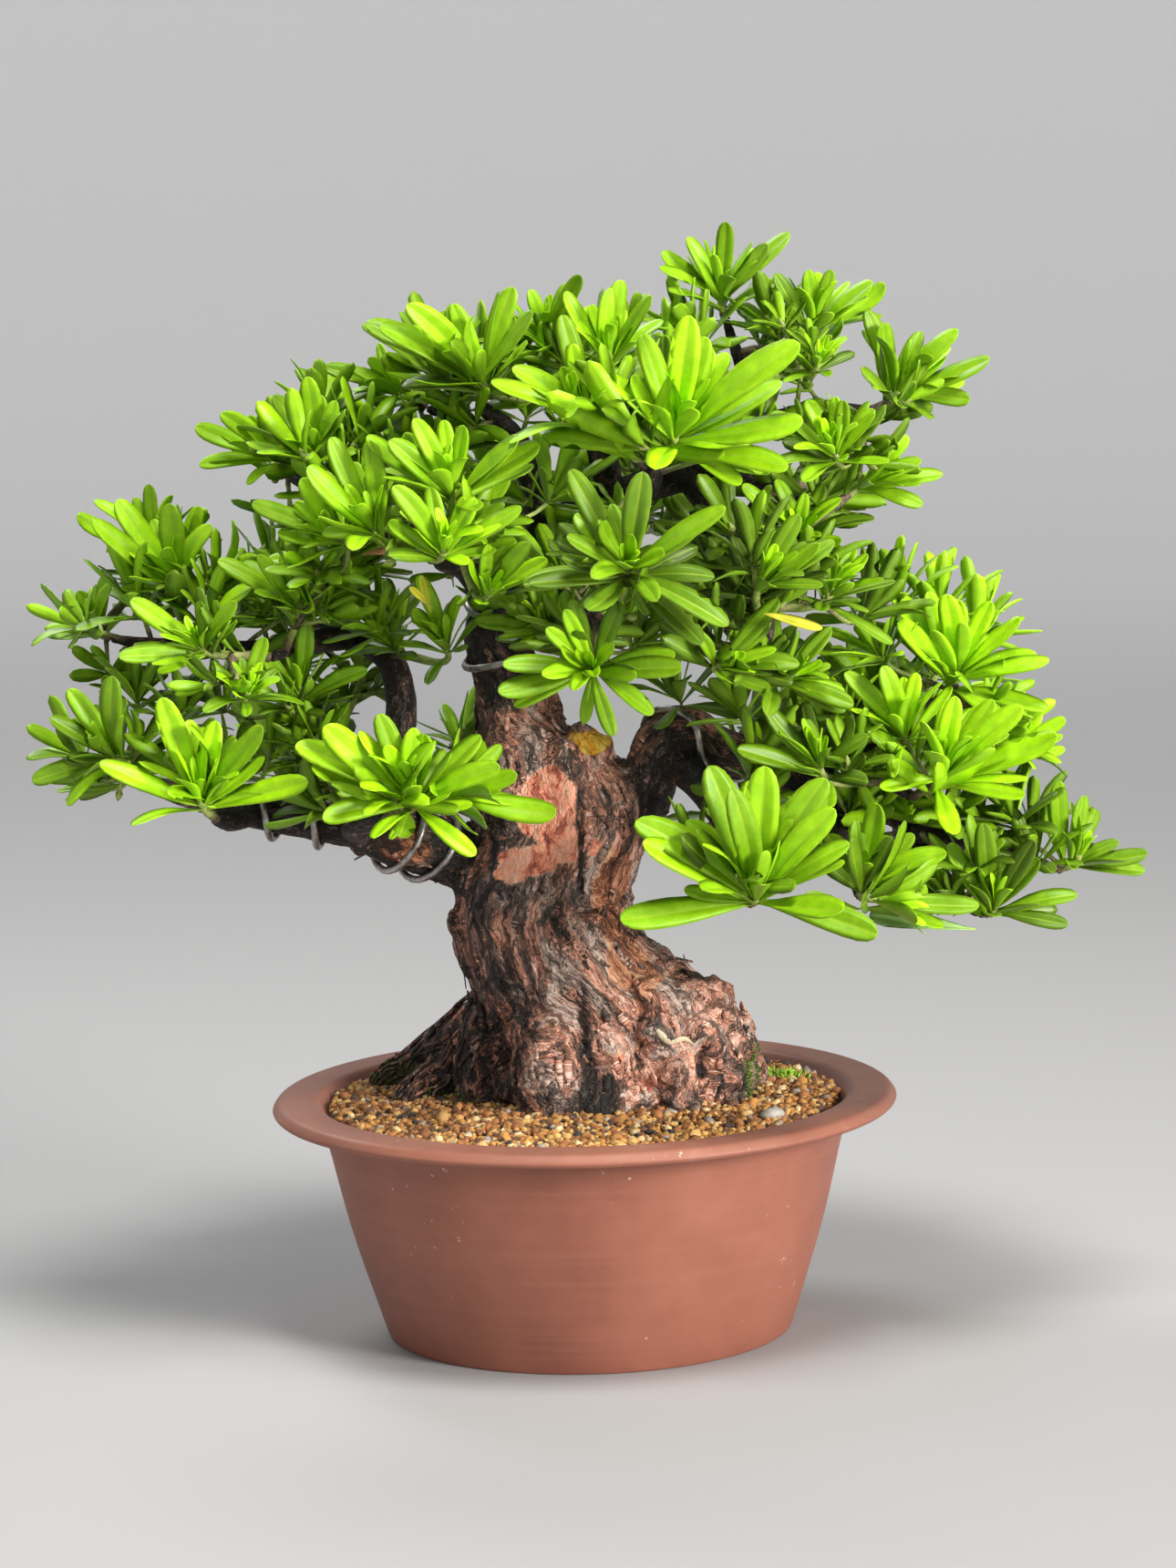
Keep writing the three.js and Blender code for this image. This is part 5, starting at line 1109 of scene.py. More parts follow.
def add_wood():
    points, faces, normals = wood_skin()
    bones = skeleton()
    grain, girth = grain_places(points, bones)
    low = smooth_step(*WOOD["foot"], points[:, 2])
    sway = np.stack([noise_at(points, 26, 1), noise_at(points, 26, 2)], axis=1)
    grain[:, :2] += sway * (relief_share(girth) * mix(5, 14, low))[:, None]
    grain[:, 2] *= 1 + WOOD["foot_stretch"] * low
    ragged = points + 3.5 * np.stack([noise_at(points, 9, seed) for seed in (11, 12, 13)], axis=1)
    bare, pink, warm, scar, dark, dull, moss = (patch(ragged, places) for places in (
        BARE_PATCHES, PINK_PATCHES, WARM_PATCHES, SCAR_PATCHES, DARK_BARK_AND_SHADOW_PATCHES, PAINTED_SHADE_PATCHES, MOSS_PATCHES))
    shaded_clefts = patch(mix(points, ragged, 0.3), SHADED_CLEFTS)
    relief, layer = wood_relief(points, grain, girth, low, shaded_clefts, bare)
    points = points + normals * relief[:, None]
    thin = 1 - smooth_step(*WOOD["black_girth"], girth)
    # Paler where it is higher: salmon where bare, paler at the foot and deep in the layers, dark elsewhere;
    # darker where the bark is dark and where painted shadow lies under and between the knuckles, and a
    # little darker under painted shade on the foot and lower trunk
    tone = (1.9 * bare + 0.42 * pink + (0.5 - layer) * (1 - 0.6 * bare) + 0.16 * low
            - 0.8 * dark * (1 - bare) - 0.35 * dull - 1.5 * thin)
    # Near black in the clefts: painted shade in the creases, over their dug relief
    tone = mix(tone, -1.1, shaded_clefts)
    tone = mix(tone, KNOT["tone"], smooth_step(1.1, 0.8, knot_reach(points)))
    # Above 1 it is no longer orange-brown bark but the yellow of the scar
    warm = warm * (1 - bare) + 2 * scar
    rng = np.random.default_rng(19)
    shards, places, chosen = shard_blocks(points, normals, grain, girth, bones, bare + scar, rng)
    rootlets = rootlet_blocks(rng)
    shard_tone = np.repeat(tone[chosen] + rng.choice(SHARDS["tones"], len(shards)), 16)
    rootlet_grain = np.concatenate([block[0] for block in rootlets])
    flakes, strands = np.ones(len(shard_tone)), np.ones(len(rootlet_grain))
    attributes = {
        "grain": np.concatenate([grain, *places, rootlet_grain]),
        "tone": np.concatenate([tone, shard_tone, ROOTLETS["tone"] * strands]),
        "warm": np.concatenate([warm, 0 * flakes, 0 * strands]),
        "moss": np.concatenate([moss, 0 * flakes, ROOTLETS["moss"] * strands]),
    }
    block = join([(points, faces), *shards, *rootlets])
    add_piece("bark_and_wood", block, [BARK], ["trunk"], attributes)
    return BVHTree.FromPolygons(points.tolist(), [face for part in faces for face in part.tolist()])


# Small things on the wood and the soil
CHIP_ROUTE = [(35, 153), (37, 150), (41, 146.5), (45, 147), (49, 146), (52, 143.5)]
CHIP_RADII = [0.8, 1.9, 1.3, 2.0, 1.2, 0.6]
WEED = {"place": (95, 30), "spread": (11, 6), "leaves": 60, "length": (3.5, 7), "tint": (0.36, 0.62, 0.06),
        "shades": (0.7, 1.3)}
MOSS = {"tufts": 520, "length": (1.2, 2.8), "tint": (0.09, 0.17, 0.025), "shades": (0.5, 1.6), "reach": 12}


def on_wood(wood, x, z):
    """Where a straight line from the front meets the wood, and the way out of the wood there."""
    hit, normal, _, _ = wood.ray_cast(Vector((x, -300, z)), Vector((0, 1, 0)))
    return np.array(hit), np.array(normal)


def add_chip(wood):
    """The pale chip of bark that lies on the right of the foot."""
    hits = [on_wood(wood, x, z) for x, z in CHIP_ROUTE]
    route = np.array([hit + 0.7 * normal for hit, normal in hits])
    line, radii = catmull_line(np.column_stack([route, CHIP_RADII]), 12)
    add_piece("pale_chip", tube(line, radii, 8, flatness=0.4), [CHIP])


def add_small_leaves(name, leaves, kind, rng):
    """A piece of small plain leaves, each in a shade of its own."""
    points, faces, on_blade = blades(leaves, PLAIN_BLADE, rng)
    shades = rng.uniform(*kind["shades"], (len(leaves), 1))
    tint = np.array(kind["tint"]) * np.repeat(shades, len(points) // len(leaves), axis=0)
    add_piece(name, (points, faces), [LEAF], (), {"tint": tint, "blade": on_blade})


def add_weed():
    """The tiny light green weed at the back of the soil."""
    rng = np.random.default_rng(23)
    leaves = []
    for _ in range(WEED["leaves"]):
        x, y = np.array(WEED["place"]) + rng.normal(0, 0.5, 2) * WEED["spread"]
        root = np.array([x, y, bed_height(math.hypot(x, y)) - 0.5])
        way = unit([rng.normal(0, 0.7), rng.normal(0, 0.7), 1.0])
        face = rng.normal(size=3) + np.array([0, -0.5, 0])
        leaves.append(Leaf(root, way, face, rng.uniform(*WEED["length"]), 0.2, 1))
    add_small_leaves("tiny_weed", leaves, WEED, rng)


def add_moss(wood):
    """Short moss on the shady wood near the soil."""
    rng = np.random.default_rng(29)
    leaves = []
    while len(leaves) < MOSS["tufts"] // 1:
        centre, half = MOSS_PATCHES[rng.integers(len(MOSS_PATCHES))]
        aim = np.array(centre) + rng.uniform(-1, 1, 3) * half
        hit, normal, _, distance = wood.find_nearest(Vector(aim))
        if hit is None or distance > MOSS["reach"] or hit.z < SOIL["edge"]:
            continue
        way = unit(np.array(normal) + rng.normal(0, 0.45, 3))
        length = rng.uniform(*MOSS["length"])
        leaves.append(Leaf(np.array(hit), way, rng.normal(size=3), length, rng.uniform(0, 0.3), 0))
    add_small_leaves("moss_tufts", leaves, MOSS, rng)


# Wires
def add_wire(name, branch, start, end, turns, phase):
    """Training wire, wound round a stretch of a branch a little clear of its bark."""
    steps = 24 * abs(turns)
    line, radii = catmull_line(BRANCHES[branch][1], steps, start, end)
    angle = phase + 2 * math.pi * turns * np.linspace(0, 1, steps + 1)
    route = wound_round(line, radii + WIRE_RADIUS + 0.4, angle)
    add_piece(f"{name}_finish", tube(route, WIRE_RADIUS, 14), [WIRE], [name])


# Soil: the bed under the grains, and how close the grains lie, their sizes and how far they stand up
BED = {"sectors": 120, "rings": 40, "inner": 4, "sunk": 1.6, "depth": 12.0, "tint": [0.09, 0.05, 0.02]}
GRAIN = {"spacing": 3.0, "quick_spacing": 4.4, "jitter": 0.9, "size": (1.0, 2.6), "large": 0.1,
         "larger_by": 1.5, "bumps": (0.78, 1.16), "stretch": (0.65, 1.3), "sunk": 0.7, "raised": (-0.5, 1.1),
         "shades": (0.75, 1.2)}
# Tones of the grains, and how often each comes
GRAIN_TONES = np.array([
    [0.56, 0.27, 0.07], [0.7, 0.42, 0.14], [0.42, 0.175, 0.055], [0.28, 0.11, 0.045], [0.82, 0.62, 0.32],
    [0.15, 0.075, 0.042], [0.05, 0.04, 0.036], [0.4, 0.33, 0.28],
])
GRAIN_SHARES = np.array([0.26, 0.2, 0.18, 0.12, 0.08, 0.07, 0.05, 0.04])


def bed_height(radius):
    """How high the soil stands at a distance from the pot's axis."""
    share = np.clip(1 - radius / inner_radius(SOIL["edge"]), 0, 1)
    return mix(SOIL["edge"], SOIL["crown"], np.sin(share * math.pi / 2))


def covered_by_wood(places):
    """True where a place on the soil lies inside the foot of the tree."""
    _, left, right, front, back, _ = TRUNK_RINGS[1]
    x = (places[:, 0] - (left + right) / 2) / ((right - left) / 2)
    y = (places[:, 1] - (front + back) / 2) / ((back - front) / 2)
    return x * x + y * y < 0.96


def bed_block(edge):
    """The dark bed, a little lower than the grains' middles."""
    radius = np.linspace(edge, BED["inner"], BED["rings"])
    level = bed_height(radius) - BED["sunk"]
    return loft(turned_rings(np.append(edge, radius), np.append(SOIL["edge"] - BED["depth"], level),
                             circle(BED["sectors"])))


def grain_seats(edge, rng):
    """Where each grain lies: a loose hexagonal pattern, free of the tree."""
    spacing = GRAIN["spacing"]
    gx, gy = np.meshgrid(np.arange(-edge, edge, spacing), np.arange(-edge, edge, spacing * 0.87))
    gx[1::2] += spacing / 2
    places = np.column_stack([gx.ravel(), gy.ravel()])
    places = places + rng.uniform(-GRAIN["jitter"], GRAIN["jitter"], (gx.size, 2))
    places = places[np.linalg.norm(places, axis=1) < edge - 1.2]
    return places[~covered_by_wood(places)]


def add_soil():
    rng = np.random.default_rng(11)
    edge = inner_radius(SOIL["edge"]) - 0.4
    places = grain_seats(edge, rng)
    count = len(places)
    size = rng.uniform(*GRAIN["size"], count)
    size[rng.random(count) < GRAIN["large"]] *= GRAIN["larger_by"]
    level = bed_height(np.linalg.norm(places, axis=1)) - GRAIN["sunk"] + rng.uniform(*GRAIN["raised"], count)
    shape, shape_faces = icosahedron()
    bumps = rng.uniform(*GRAIN["bumps"], (count, len(shape)))
    stretch = rng.uniform(*GRAIN["stretch"], (count, 1, 3))
    turn = rng.uniform(0, 2 * math.pi, count)
    tilt = rng.uniform(0, math.pi, count)
    local = shape[None] * bumps[..., None] * stretch * size[:, None, None]
    y, z = turned(local[..., 1], local[..., 2], tilt[:, None])
    x, y = turned(local[..., 0], y, turn[:, None])
    grains = np.stack([x, y, z], axis=-1) + np.column_stack([places, level])[:, None]
    faces = (shape_faces[None] + (np.arange(count) * len(shape))[:, None, None]).reshape(-1, 3)
    tone = GRAIN_TONES[rng.choice(len(GRAIN_TONES), count, p=GRAIN_SHARES)]
    tone = tone * rng.uniform(*GRAIN["shades"], (count, 1))
    bed = bed_block(edge)
    block = join([bed, (grains.reshape(-1, 3), [faces])])
    tint = np.concatenate([np.tile(BED["tint"], (len(bed[0]), 1)), np.repeat(tone, len(shape), axis=0)])
    add_piece("soil_grains", block, [GRAINS], ["soil"], {"tint": tint})


def add_pebble():
    points, faces = icosahedron()
    draw = seeded_draw(3)
    points = points * np.array([[0.9 + 0.2 * draw()] for _ in points]) * PEBBLE["half_size"]
    x, y = turned(points[:, 0], points[:, 1], PEBBLE["turn"])
    block = np.column_stack([x, y, points[:, 2]]) + PEBBLE["place"], [faces]
    piece = add_piece("pale_pebble", block, [STONE], ["pebble"])
    swell = piece.modifiers.new("round", "SUBSURF")
    swell.levels = 3
    swell.render_levels = 3


# Shoots: stems, and the leaves that they bear
Leaf = namedtuple("Leaf", "root way face length arch age")


def seats_on_branches():
    """Places on the branches from which a stem may grow, as in the part's source."""
    seats = []
    for rows in all_branches():
        line, _ = catmull_line(rows, 200)
        count = round(line_length(line) / STEM["seat_step"])
        rows = np.array(rows, float)
        for i in range(math.ceil(count * STEM["seat_from"]), count + 1):
            seats.append(np.append(catmull_point(rows[:, :3], i / count), radius_at(rows, i / count)))
    return seats


def take_seat(seats, target):
    """The best free seat for a whorl; the ones beside it are used up with it."""
    best = min((seat for seat in seats if seat[3] < STEM["seat_radius"]),
               key=lambda seat: np.linalg.norm(seat[:3] - target) + 0.8 * max(0, seat[2] - target[2] + 8))
    seats[:] = [seat for seat in seats if np.linalg.norm(seat[:3] - best[:3]) > STEM["spacing"]]
    return best[:3]


def shoot_behind(shoot, draw):
    """A shoot's twin at the back of the tree, moved and turned a little."""
    place, aim, length, _ = shoot
    x, y, z = behind_point(*place)
    x += (draw() - 0.5) * TWIN_SHIFT
    y += (draw() - 0.5) * TWIN_SHIFT * TWIN_DEPTH
    z += (draw() - 0.5) * TWIN_SHIFT
    return [[x, y, z], [aim[0] + (draw() - 0.5) * TWIN_TURN, -aim[1], aim[2]], length, []]


def all_sprays():
    """Each spray's name, freshness and shoots, twins included."""
    draw = seeded_draw(5)
    sprays = [(f"spray_{name}", fresh, shoots) for name, (fresh, shoots) in SPRAYS.items()]
    for name, (fresh, shoots) in SPRAYS.items():
        if name not in WITHOUT_TWIN:
            twins = [shoot_behind(shoot, draw) for shoot in shoots]
            sprays.append((f"spray_{name}_back", fresh * TWIN_FRESHNESS, twins))
    return sprays


def stem_controls(start, end, aim):
    reach = np.linalg.norm(end - start)
    return start, mix(start, end, 0.35) + np.array([0, 0, 0.04 * reach]), end - 0.4 * reach * aim, end


def grow_stems(sprays):
    """For each spray, the curves of its shoots' stems, each from a seat of its own; and the free seats."""
    seats = seats_on_branches()
    stems = []
    for _, _, shoots in sprays:
        curves = []
        for place, aim, _, _ in shoots:
            axis = unit(aim)
            place = np.array(place, float)
            start = bezier_line(curves[0], [0.5])[0] if curves else take_seat(seats, place)
            curves.append(stem_controls(start, place + 2 * axis, axis))
        stems.append(curves)
    return stems, seats


def around(axis, tilt, turn):
    """A direction tilted off an axis, and the way out from the axis on that side, both unit vectors."""
    side = unit(np.cross([0, 0, 1], axis))
    out = side * math.cos(turn) + np.cross(axis, side) * math.sin(turn)
    return axis * math.cos(tilt) + out * math.sin(tilt), out


def leaf_face(axis, out, inward=0.6, lift=0.35):
    """The way that a leaf's upper face looks: along its stem, in towards it and a little up."""
    return axis - inward * out + np.array([0, 0, lift])


def fan_leaves(fan, root_at, axis, draw):
    """The leaves that show from the front, as in the part's source."""
    leaves = []
    for i, (angle, reach) in enumerate(fan):
        lean = math.radians(10 + 22 * ((i * 0.618) % 1))
        flat = math.radians(angle)
        way = np.array([math.cos(flat) * math.cos(lean), -math.sin(lean), math.sin(flat) * math.cos(lean)])
        face = np.array([0, -0.85, 0.5]) + 0.3 * axis
        arch = 0.05 + 0.06 * draw()
        leaves.append(Leaf(root_at((i * 0.618 + 0.3) % 1), way, face, reach / math.cos(lean), arch, 0.35))
    return leaves


def spoils_fan(way, size, fan):
    """True for a leaf that would hang down, or stick out of a fan that was measured in the photograph."""
    if len(fan) < FULL_FAN:
        return way[2] < WHORL_LOWEST
    if way[2] < FAN_LOWEST:
        return True
    angle = math.degrees(math.atan2(way[2], way[0]))
    apart, reach = min((abs((angle - leaf[0] + 180) % 360 - 180), leaf[1]) for leaf in fan)
    seen = math.hypot(way[0], way[2]) * size
    return seen > FAN_REACH["near" if apart < FAN_REACH["degrees"] else "elsewhere"] * reach


def shoot_leaves(shoot, controls, seed):
    """Every leaf of a whorl as in the part's source."""
    _, aim, length, fan = shoot
    draw = seeded_draw(seed)
    curve_length = line_length(bezier_line(controls, np.linspace(0, 1, 201)))
    axis = unit(aim)

    def root_at(back):
        share = 1 - min(0.7, (1 + STEM["bud_length"] * back) / curve_length)
        return bezier_line(controls, [share])[0]

    leaves = fan_leaves(fan, root_at, axis, draw)
    start = draw() * 2 * math.pi
    for i in range(SPIRAL["count"]):
        share = i / (SPIRAL["count"] - 1)
        tilt = math.radians(mix(SPIRAL["outer"], SPIRAL["inner"], share**0.8) + (draw() - 0.5) * 12)
        way, out = around(axis, tilt, start + i * GOLDEN_TURN)
        size = length * mix(0.95, 0.62, share) * (0.88 + 0.24 * draw())
        arch = 0.04 + 0.1 * draw()
        if not spoils_fan(way, size, fan):
            leaves.append(Leaf(root_at(1 - share), way, leaf_face(axis, out), size, arch, share))
    return leaves


def heart_leaves(shoot, end, rng):
    """The short young leaves at the middle of a whorl."""
    _, aim, length, _ = shoot
    axis = unit(aim)
    leaves = []
    for i in range(HEART["count"]):
        way, out = around(axis, math.radians(HEART["tilt"]) * rng.uniform(0.3, 1), i * GOLDEN_TURN)
        size = length * rng.uniform(HEART["least"], HEART["most"])
        leaves.append(Leaf(end, way, axis - out, size, rng.uniform(-0.05, 0.05), HEART["age"]))
    return leaves


def old_leaf(foot, tip, face):
    """A single leaf from its foot to its tip."""
    way = np.array(tip, float) - foot
    return Leaf(np.array(foot, float), way, np.array(face), np.linalg.norm(way), 0.08, 0.0)


def opens_view(root, way, length):
    """False for a leaf or twig that would close a gap that the photograph looks through."""
    camera = np.array(CAMERA["place"])
    for share in (0, 0.5, 1):
        point = root + unit(way) * length * share
        seen = camera + (point - camera) * (camera[1] / (camera[1] - point[1]))
        for x, z, half_width, half_height in WINDOWS:
            if math.hypot((seen[0] - x) / half_width, (seen[2] - z) / half_height) < 1:
                return False
    return True


def small_shoot(start, axis, length, leaf_length, rng, count=SIDE_SHOOTS["leaves"]):
    """A short side twig, as its two ends and its way, and the whorl at its end."""
    tip = start + axis * length
    leaves = []
    for i in range(count):
        share = i / (count - 1)
        tilt = math.radians(mix(*SMALL_WHORL["tilt"], share) + rng.uniform(*SMALL_WHORL["stray"]))
        way, out = around(axis, tilt, i * GOLDEN_TURN)
        size = leaf_length * rng.uniform(*SMALL_WHORL["size"])
        root = tip - axis * (SMALL_WHORL["stretch"] * (1 - share))
        age = SIDE_SHOOTS["age"] + SMALL_WHORL["fresher"] * share
        leaves.append(Leaf(root, way, leaf_face(axis, out), size, rng.uniform(*SMALL_WHORL["arch"]), age))
    return (start, tip, axis), leaves


def stem_leaves(shoot, controls, rng):
    """The older leaves down the stem, and the small side shoots between them: leaves and twigs."""
    place, _, length, fan = shoot
    line = bezier_line(controls, np.linspace(0, 1, 60))
    travelled = lengths_along(line)
    along, _, _ = cross_frames(line)
    leaves, twigs = [], []
    end = travelled[-1] - STEM["bud_length"]
    for i, at in enumerate(np.arange(STEM_LEAVES["from"] * travelled[-1], end, STEM_LEAVES["spacing"])):
        k = min(np.searchsorted(travelled, at), len(line) - 1)
        tilt = math.radians(rng.uniform(*STEM_LEAVES["tilt"]))
        way, out = around(along[k], tilt, i * GOLDEN_TURN + rng.uniform(*STEM_LEAVES["stray"]))
        size = length * rng.uniform(*STEM_LEAVES["size"])
        leaves.append(Leaf(line[k], way, leaf_face(along[k], out, 0.4, 0.5), size,
                           rng.uniform(*STEM_LEAVES["arch"]), STEM_LEAVES["age"]))
    first = SIDE_SHOOTS["spacing"] * rng.uniform(*SIDE_SHOOTS["first"])
    for at in np.arange(first, end, SIDE_SHOOTS["spacing"]):
        k = min(np.searchsorted(travelled, at), len(line) - 1)
        tilt = math.radians(rng.uniform(*SIDE_SHOOTS["tilt"]))
        way, _ = around(along[k], tilt, rng.uniform(0, 2 * math.pi))
        axis = unit(way + np.array([0, 0, SIDE_SHOOTS["lift"]]))
        twig, whorl = small_shoot(line[k], axis, rng.uniform(*SIDE_SHOOTS["length"]),
                                  length * rng.uniform(*SIDE_SHOOTS["size"]), rng)
        twigs.append(twig)
        leaves.extend(whorl)
    if len(fan) >= FULL_FAN:
        lowest = place[2] - INNER_SHOOTS["below"]
        leaves = [leaf for leaf in leaves if (leaf.root + unit(leaf.way) * leaf.length)[2] > lowest]
    return leaves, twigs


def inner_shoots(seats, stems, rng):
    """Small shoots from the seats that no spray took, and the filling ones: for each spray, its nearest."""
    near = [[] for _ in stems]
    feet = np.array([curves[0][0] for curves in stems])
    taken = []
    for seat in seats:
        if any(np.linalg.norm(seat[:3] - other) < INNER_SHOOTS["spacing"] for other in taken):
            continue
        taken.append(seat[:3])
        axis = unit(rng.normal(size=3) + np.array([0, -0.25, 0.75]))
        start = seat[:3] + axis * 0.6 * seat[3]
        length, leaf_length = rng.uniform(*INNER_SHOOTS["length"]), rng.uniform(*INNER_SHOOTS["leaf"])
        owner = np.linalg.norm(feet - seat[:3], axis=1).argmin()
        near[owner].append(small_shoot(start, axis, length, leaf_length, rng))
    holds = [(i, bezier_line(curve, [share])[0])
             for i, curves in enumerate(stems) for curve in curves for share in HOLD_SHARES]
    hold = np.array([place for _, place in holds])
    for x, y, z, leaf_length in FILL_SHOOTS:
        place = np.array([x, y, z], float)
        below = np.maximum(0, hold[:, 2] - z + 4)
        nearest = (np.linalg.norm(hold - place, axis=1) + below).argmin()
        axis = unit(unit(place - hold[nearest]) + np.array([0, -0.2, 0.9]))
        (_, tip, _), leaves = small_shoot(place - axis, axis, 1.0, leaf_length, rng, FILL_LEAVES)
        near[holds[nearest][0]].append(((hold[nearest], tip, axis), leaves))
    return near


def grow_leaves(name, shoots, curves, small, seed, rng):
    """What a spray bears: its fine leaves, with old ones first, its plainer leaves and its small twigs."""
    fine = [old_leaf(*row[1:4]) for row in OLD_LEAVES if row[0] == name]
    twigs = [twig for twig, _ in small]
    plain = [leaf for _, leaves in small for leaf in leaves]
    for number, (shoot, controls) in enumerate(zip(shoots, curves)):
        whorl = shoot_leaves(shoot, controls, seed + number)
        fine.extend(leaf for leaf in whorl if shoot[3] or opens_view(leaf.root, leaf.way, leaf.length))
        fine.extend(heart_leaves(shoot, controls[3], rng))
        older, side_twigs = stem_leaves(shoot, controls, rng)
        plain.extend(older)
        twigs.extend(side_twigs)
    plain = [leaf for leaf in plain
             if opens_view(leaf.root, leaf.way, leaf.length) and unit(leaf.way)[2] > STEM_LOWEST]
    twigs = [(start, tip, axis) for start, tip, axis in twigs
             if opens_view(start, axis, np.linalg.norm(tip - start))]
    return fine, plain, twigs


# How finely a blade is built: shares of its length, and the columns of its upper face and its back as shares
# of its half width. Old leaves down the stems are plainer.
FINE_BLADE = {
    "rows": np.array([0, 0.06, 0.16, 0.3, 0.46, 0.62, 0.75, 0.86, 0.94, 0.985, 1.0]),
    "top": np.array([-1, -0.55, -0.13, 0, 0.13, 0.55, 1]), "back": np.array([0.5, 0, -0.5]),
}
PLAIN_BLADE = {
    "rows": np.array([0, 0.14, 0.34, 0.6, 0.8, 0.93, 1.0]),
    "top": np.array([-1, -0.13, 0.13, 1]), "back": np.array([0]),
}
# Broader than the source's blades, and the more so the shorter they are
BREADTH = {"short": 30, "long": 62, "at_short": 1.15, "at_long": 1.05}
BLADE = {"widest": 0.68, "foot": 0.13, "swell": 1.3, "blunt": 2.7, "round": 0.42, "tip": 0.14}
# How leaves differ: in breadth, in how far they are folded up along the midrib, and twisted; and how far
# they are bent sideways and curled, as shares of their length
HABIT = {"breadth": (0.9, 1.12), "fold": (0.04, 0.55), "sway": 0.06, "twist": (-0.8, 0.8), "curl": 0.065}
# Heights across a blade in millimetres: the groove of the midrib, the ridges beside it, the edges, the
# middle of the back and the rest of it. The ridges' place is a share of the blade's half width.
SECTION = {"groove": -0.3, "ridge": 0.1, "ridge_at": 0.13, "edge": -0.12, "keel": -0.8, "back": -0.55}
# From the oldest to the freshest
LEAF_TONES = np.array([[0.04, 0.078, 0.008], [0.11, 0.215, 0.008], [0.23, 0.46, 0.006], [0.4, 0.76, 0.006]])
# How fresh a leaf is: a base, the weights of its spray's freshness and of its age past the middle one, and
# how far it strays. Its tone is then made darker or lighter by a shade.
FRESHNESS = {"base": 0.1, "spray": 0.85, "age": 0.46, "middle_age": 0.4, "stray": 0.105,
             "shades": (0.87, 1.12)}
# How finely a stem is built and how knobbly it is; a bud's length, and its radii from its foot to its tip
STEM_BUILD = {"steps": 12, "sides": 8, "knobs": (0.88, 1.14)}
BUD = {"length": 6, "radii": np.array([1.4, 1.9, 1.6, 0.9, 0.15]), "sides": 7}


def blade_width(share):
    """Narrow at its foot, widest past the middle and round at the tip."""
    before = np.sin(np.clip(share / BLADE["widest"], 0, 1) * math.pi / 2) ** BLADE["swell"]
    beyond = np.clip((share - BLADE["widest"]) / (1 - BLADE["widest"]), 0, 1)
    tip = np.maximum((1 - beyond ** BLADE["blunt"]) ** BLADE["round"], BLADE["tip"])
    return np.where(share < BLADE["widest"], mix(BLADE["foot"], 1, before), tip)


def blades(leaves, form, rng):
    """Leaves as one block of closed thin skins, with each corner's place on its blade."""
    root, way, face, length, arch, _ = (np.array(column, float) for column in zip(*leaves))
    count = len(leaves)
    along = unit(way)
    normal = unit(face - (face * along).sum(1, keepdims=True) * along)
    across = np.cross(normal, along)
    share, top, back = form["rows"], form["top"], form["back"]
    columns = np.concatenate([top, back])
    grown = smooth_step(BREADTH["short"], BREADTH["long"], length)
    breadth = mix(BREADTH["at_short"], BREADTH["at_long"], grown)
    half = length * BLADE_WIDTH / 2 * breadth * rng.uniform(*HABIT["breadth"], count)
    width = half[:, None] * blade_width(share)
    fold = rng.uniform(*HABIT["fold"], count)[:, None, None]
    sway = rng.normal(0, HABIT["sway"], count) * length
    wave = rng.uniform(*HABIT["twist"], count)
    curl = rng.normal(0, HABIT["curl"], count) * length
    reach = np.abs(columns)
    lift = fold * reach * width[..., None] * np.sin(math.pi * np.clip(share, 0.02, 0.9))[:, None]
    relief = np.where(top == 0, SECTION["groove"], 0.0)
    relief = relief + np.where(np.abs(top) == SECTION["ridge_at"], SECTION["ridge"], 0.0)
    relief = np.concatenate([relief, np.where(back == 0, SECTION["keel"], SECTION["back"])])
    relief = relief + np.where(reach == 1, SECTION["edge"], 0.0)
    depth = lift + relief * mix(0.9, 0.6, share)[:, None]
    droop = (arch * length)[:, None] * share**2 + curl[:, None] * np.sin(math.pi * share) * share
    drift = sway[:, None] * share**2
    twist = (wave[:, None] * share)[..., None] * (columns * width[..., None]) * 0.5
    centre = (root[:, None] + along[:, None] * (length[:, None] * share)[..., None]
              - normal[:, None] * droop[..., None] + across[:, None] * drift[..., None])
    points = (centre[:, :, None] + across[:, None, None] * (columns * width[..., None])[..., None]
              + normal[:, None, None] * (depth + twist)[..., None])
    rows, ring = len(share), len(columns)
    index, walls = ring_walls(rows, ring)
    caps = np.stack([index[0], index[-1][::-1]])
    offset = (np.arange(count) * rows * ring)[:, None, None]
    faces = [(turned_over(walls)[None] + offset).reshape(-1, 4), (caps[None] + offset).reshape(-1, ring)]
    on_blade = np.empty((count, rows, ring, 3))
    on_blade[..., 0] = columns
    on_blade[..., 1] = share[:, None]
    on_blade[..., 2] = np.concatenate([np.where(np.abs(top) == 1, 0, 1), np.full(len(back), -1)])
    return points.reshape(-1, 3), faces, on_blade.reshape(-1, 3)


def leaf_tints(leaves, fresh, rng):
    """A green for each leaf, fresher at the heart of the whorl."""
    age = np.array([leaf.age for leaf in leaves])
    base = FRESHNESS["base"] + fresh * FRESHNESS["spray"]
    freshness = (base + (age - FRESHNESS["middle_age"]) * FRESHNESS["age"]
                 + rng.normal(0, FRESHNESS["stray"], len(leaves)))
    tone = np.clip(freshness, 0, 1) * (len(LEAF_TONES) - 1)
    low = np.minimum(tone.astype(int), len(LEAF_TONES) - 2)
    tint = mix(LEAF_TONES[low], LEAF_TONES[low + 1], (tone - low)[:, None])
    return tint * rng.uniform(*FRESHNESS["shades"], (len(leaves), 1))


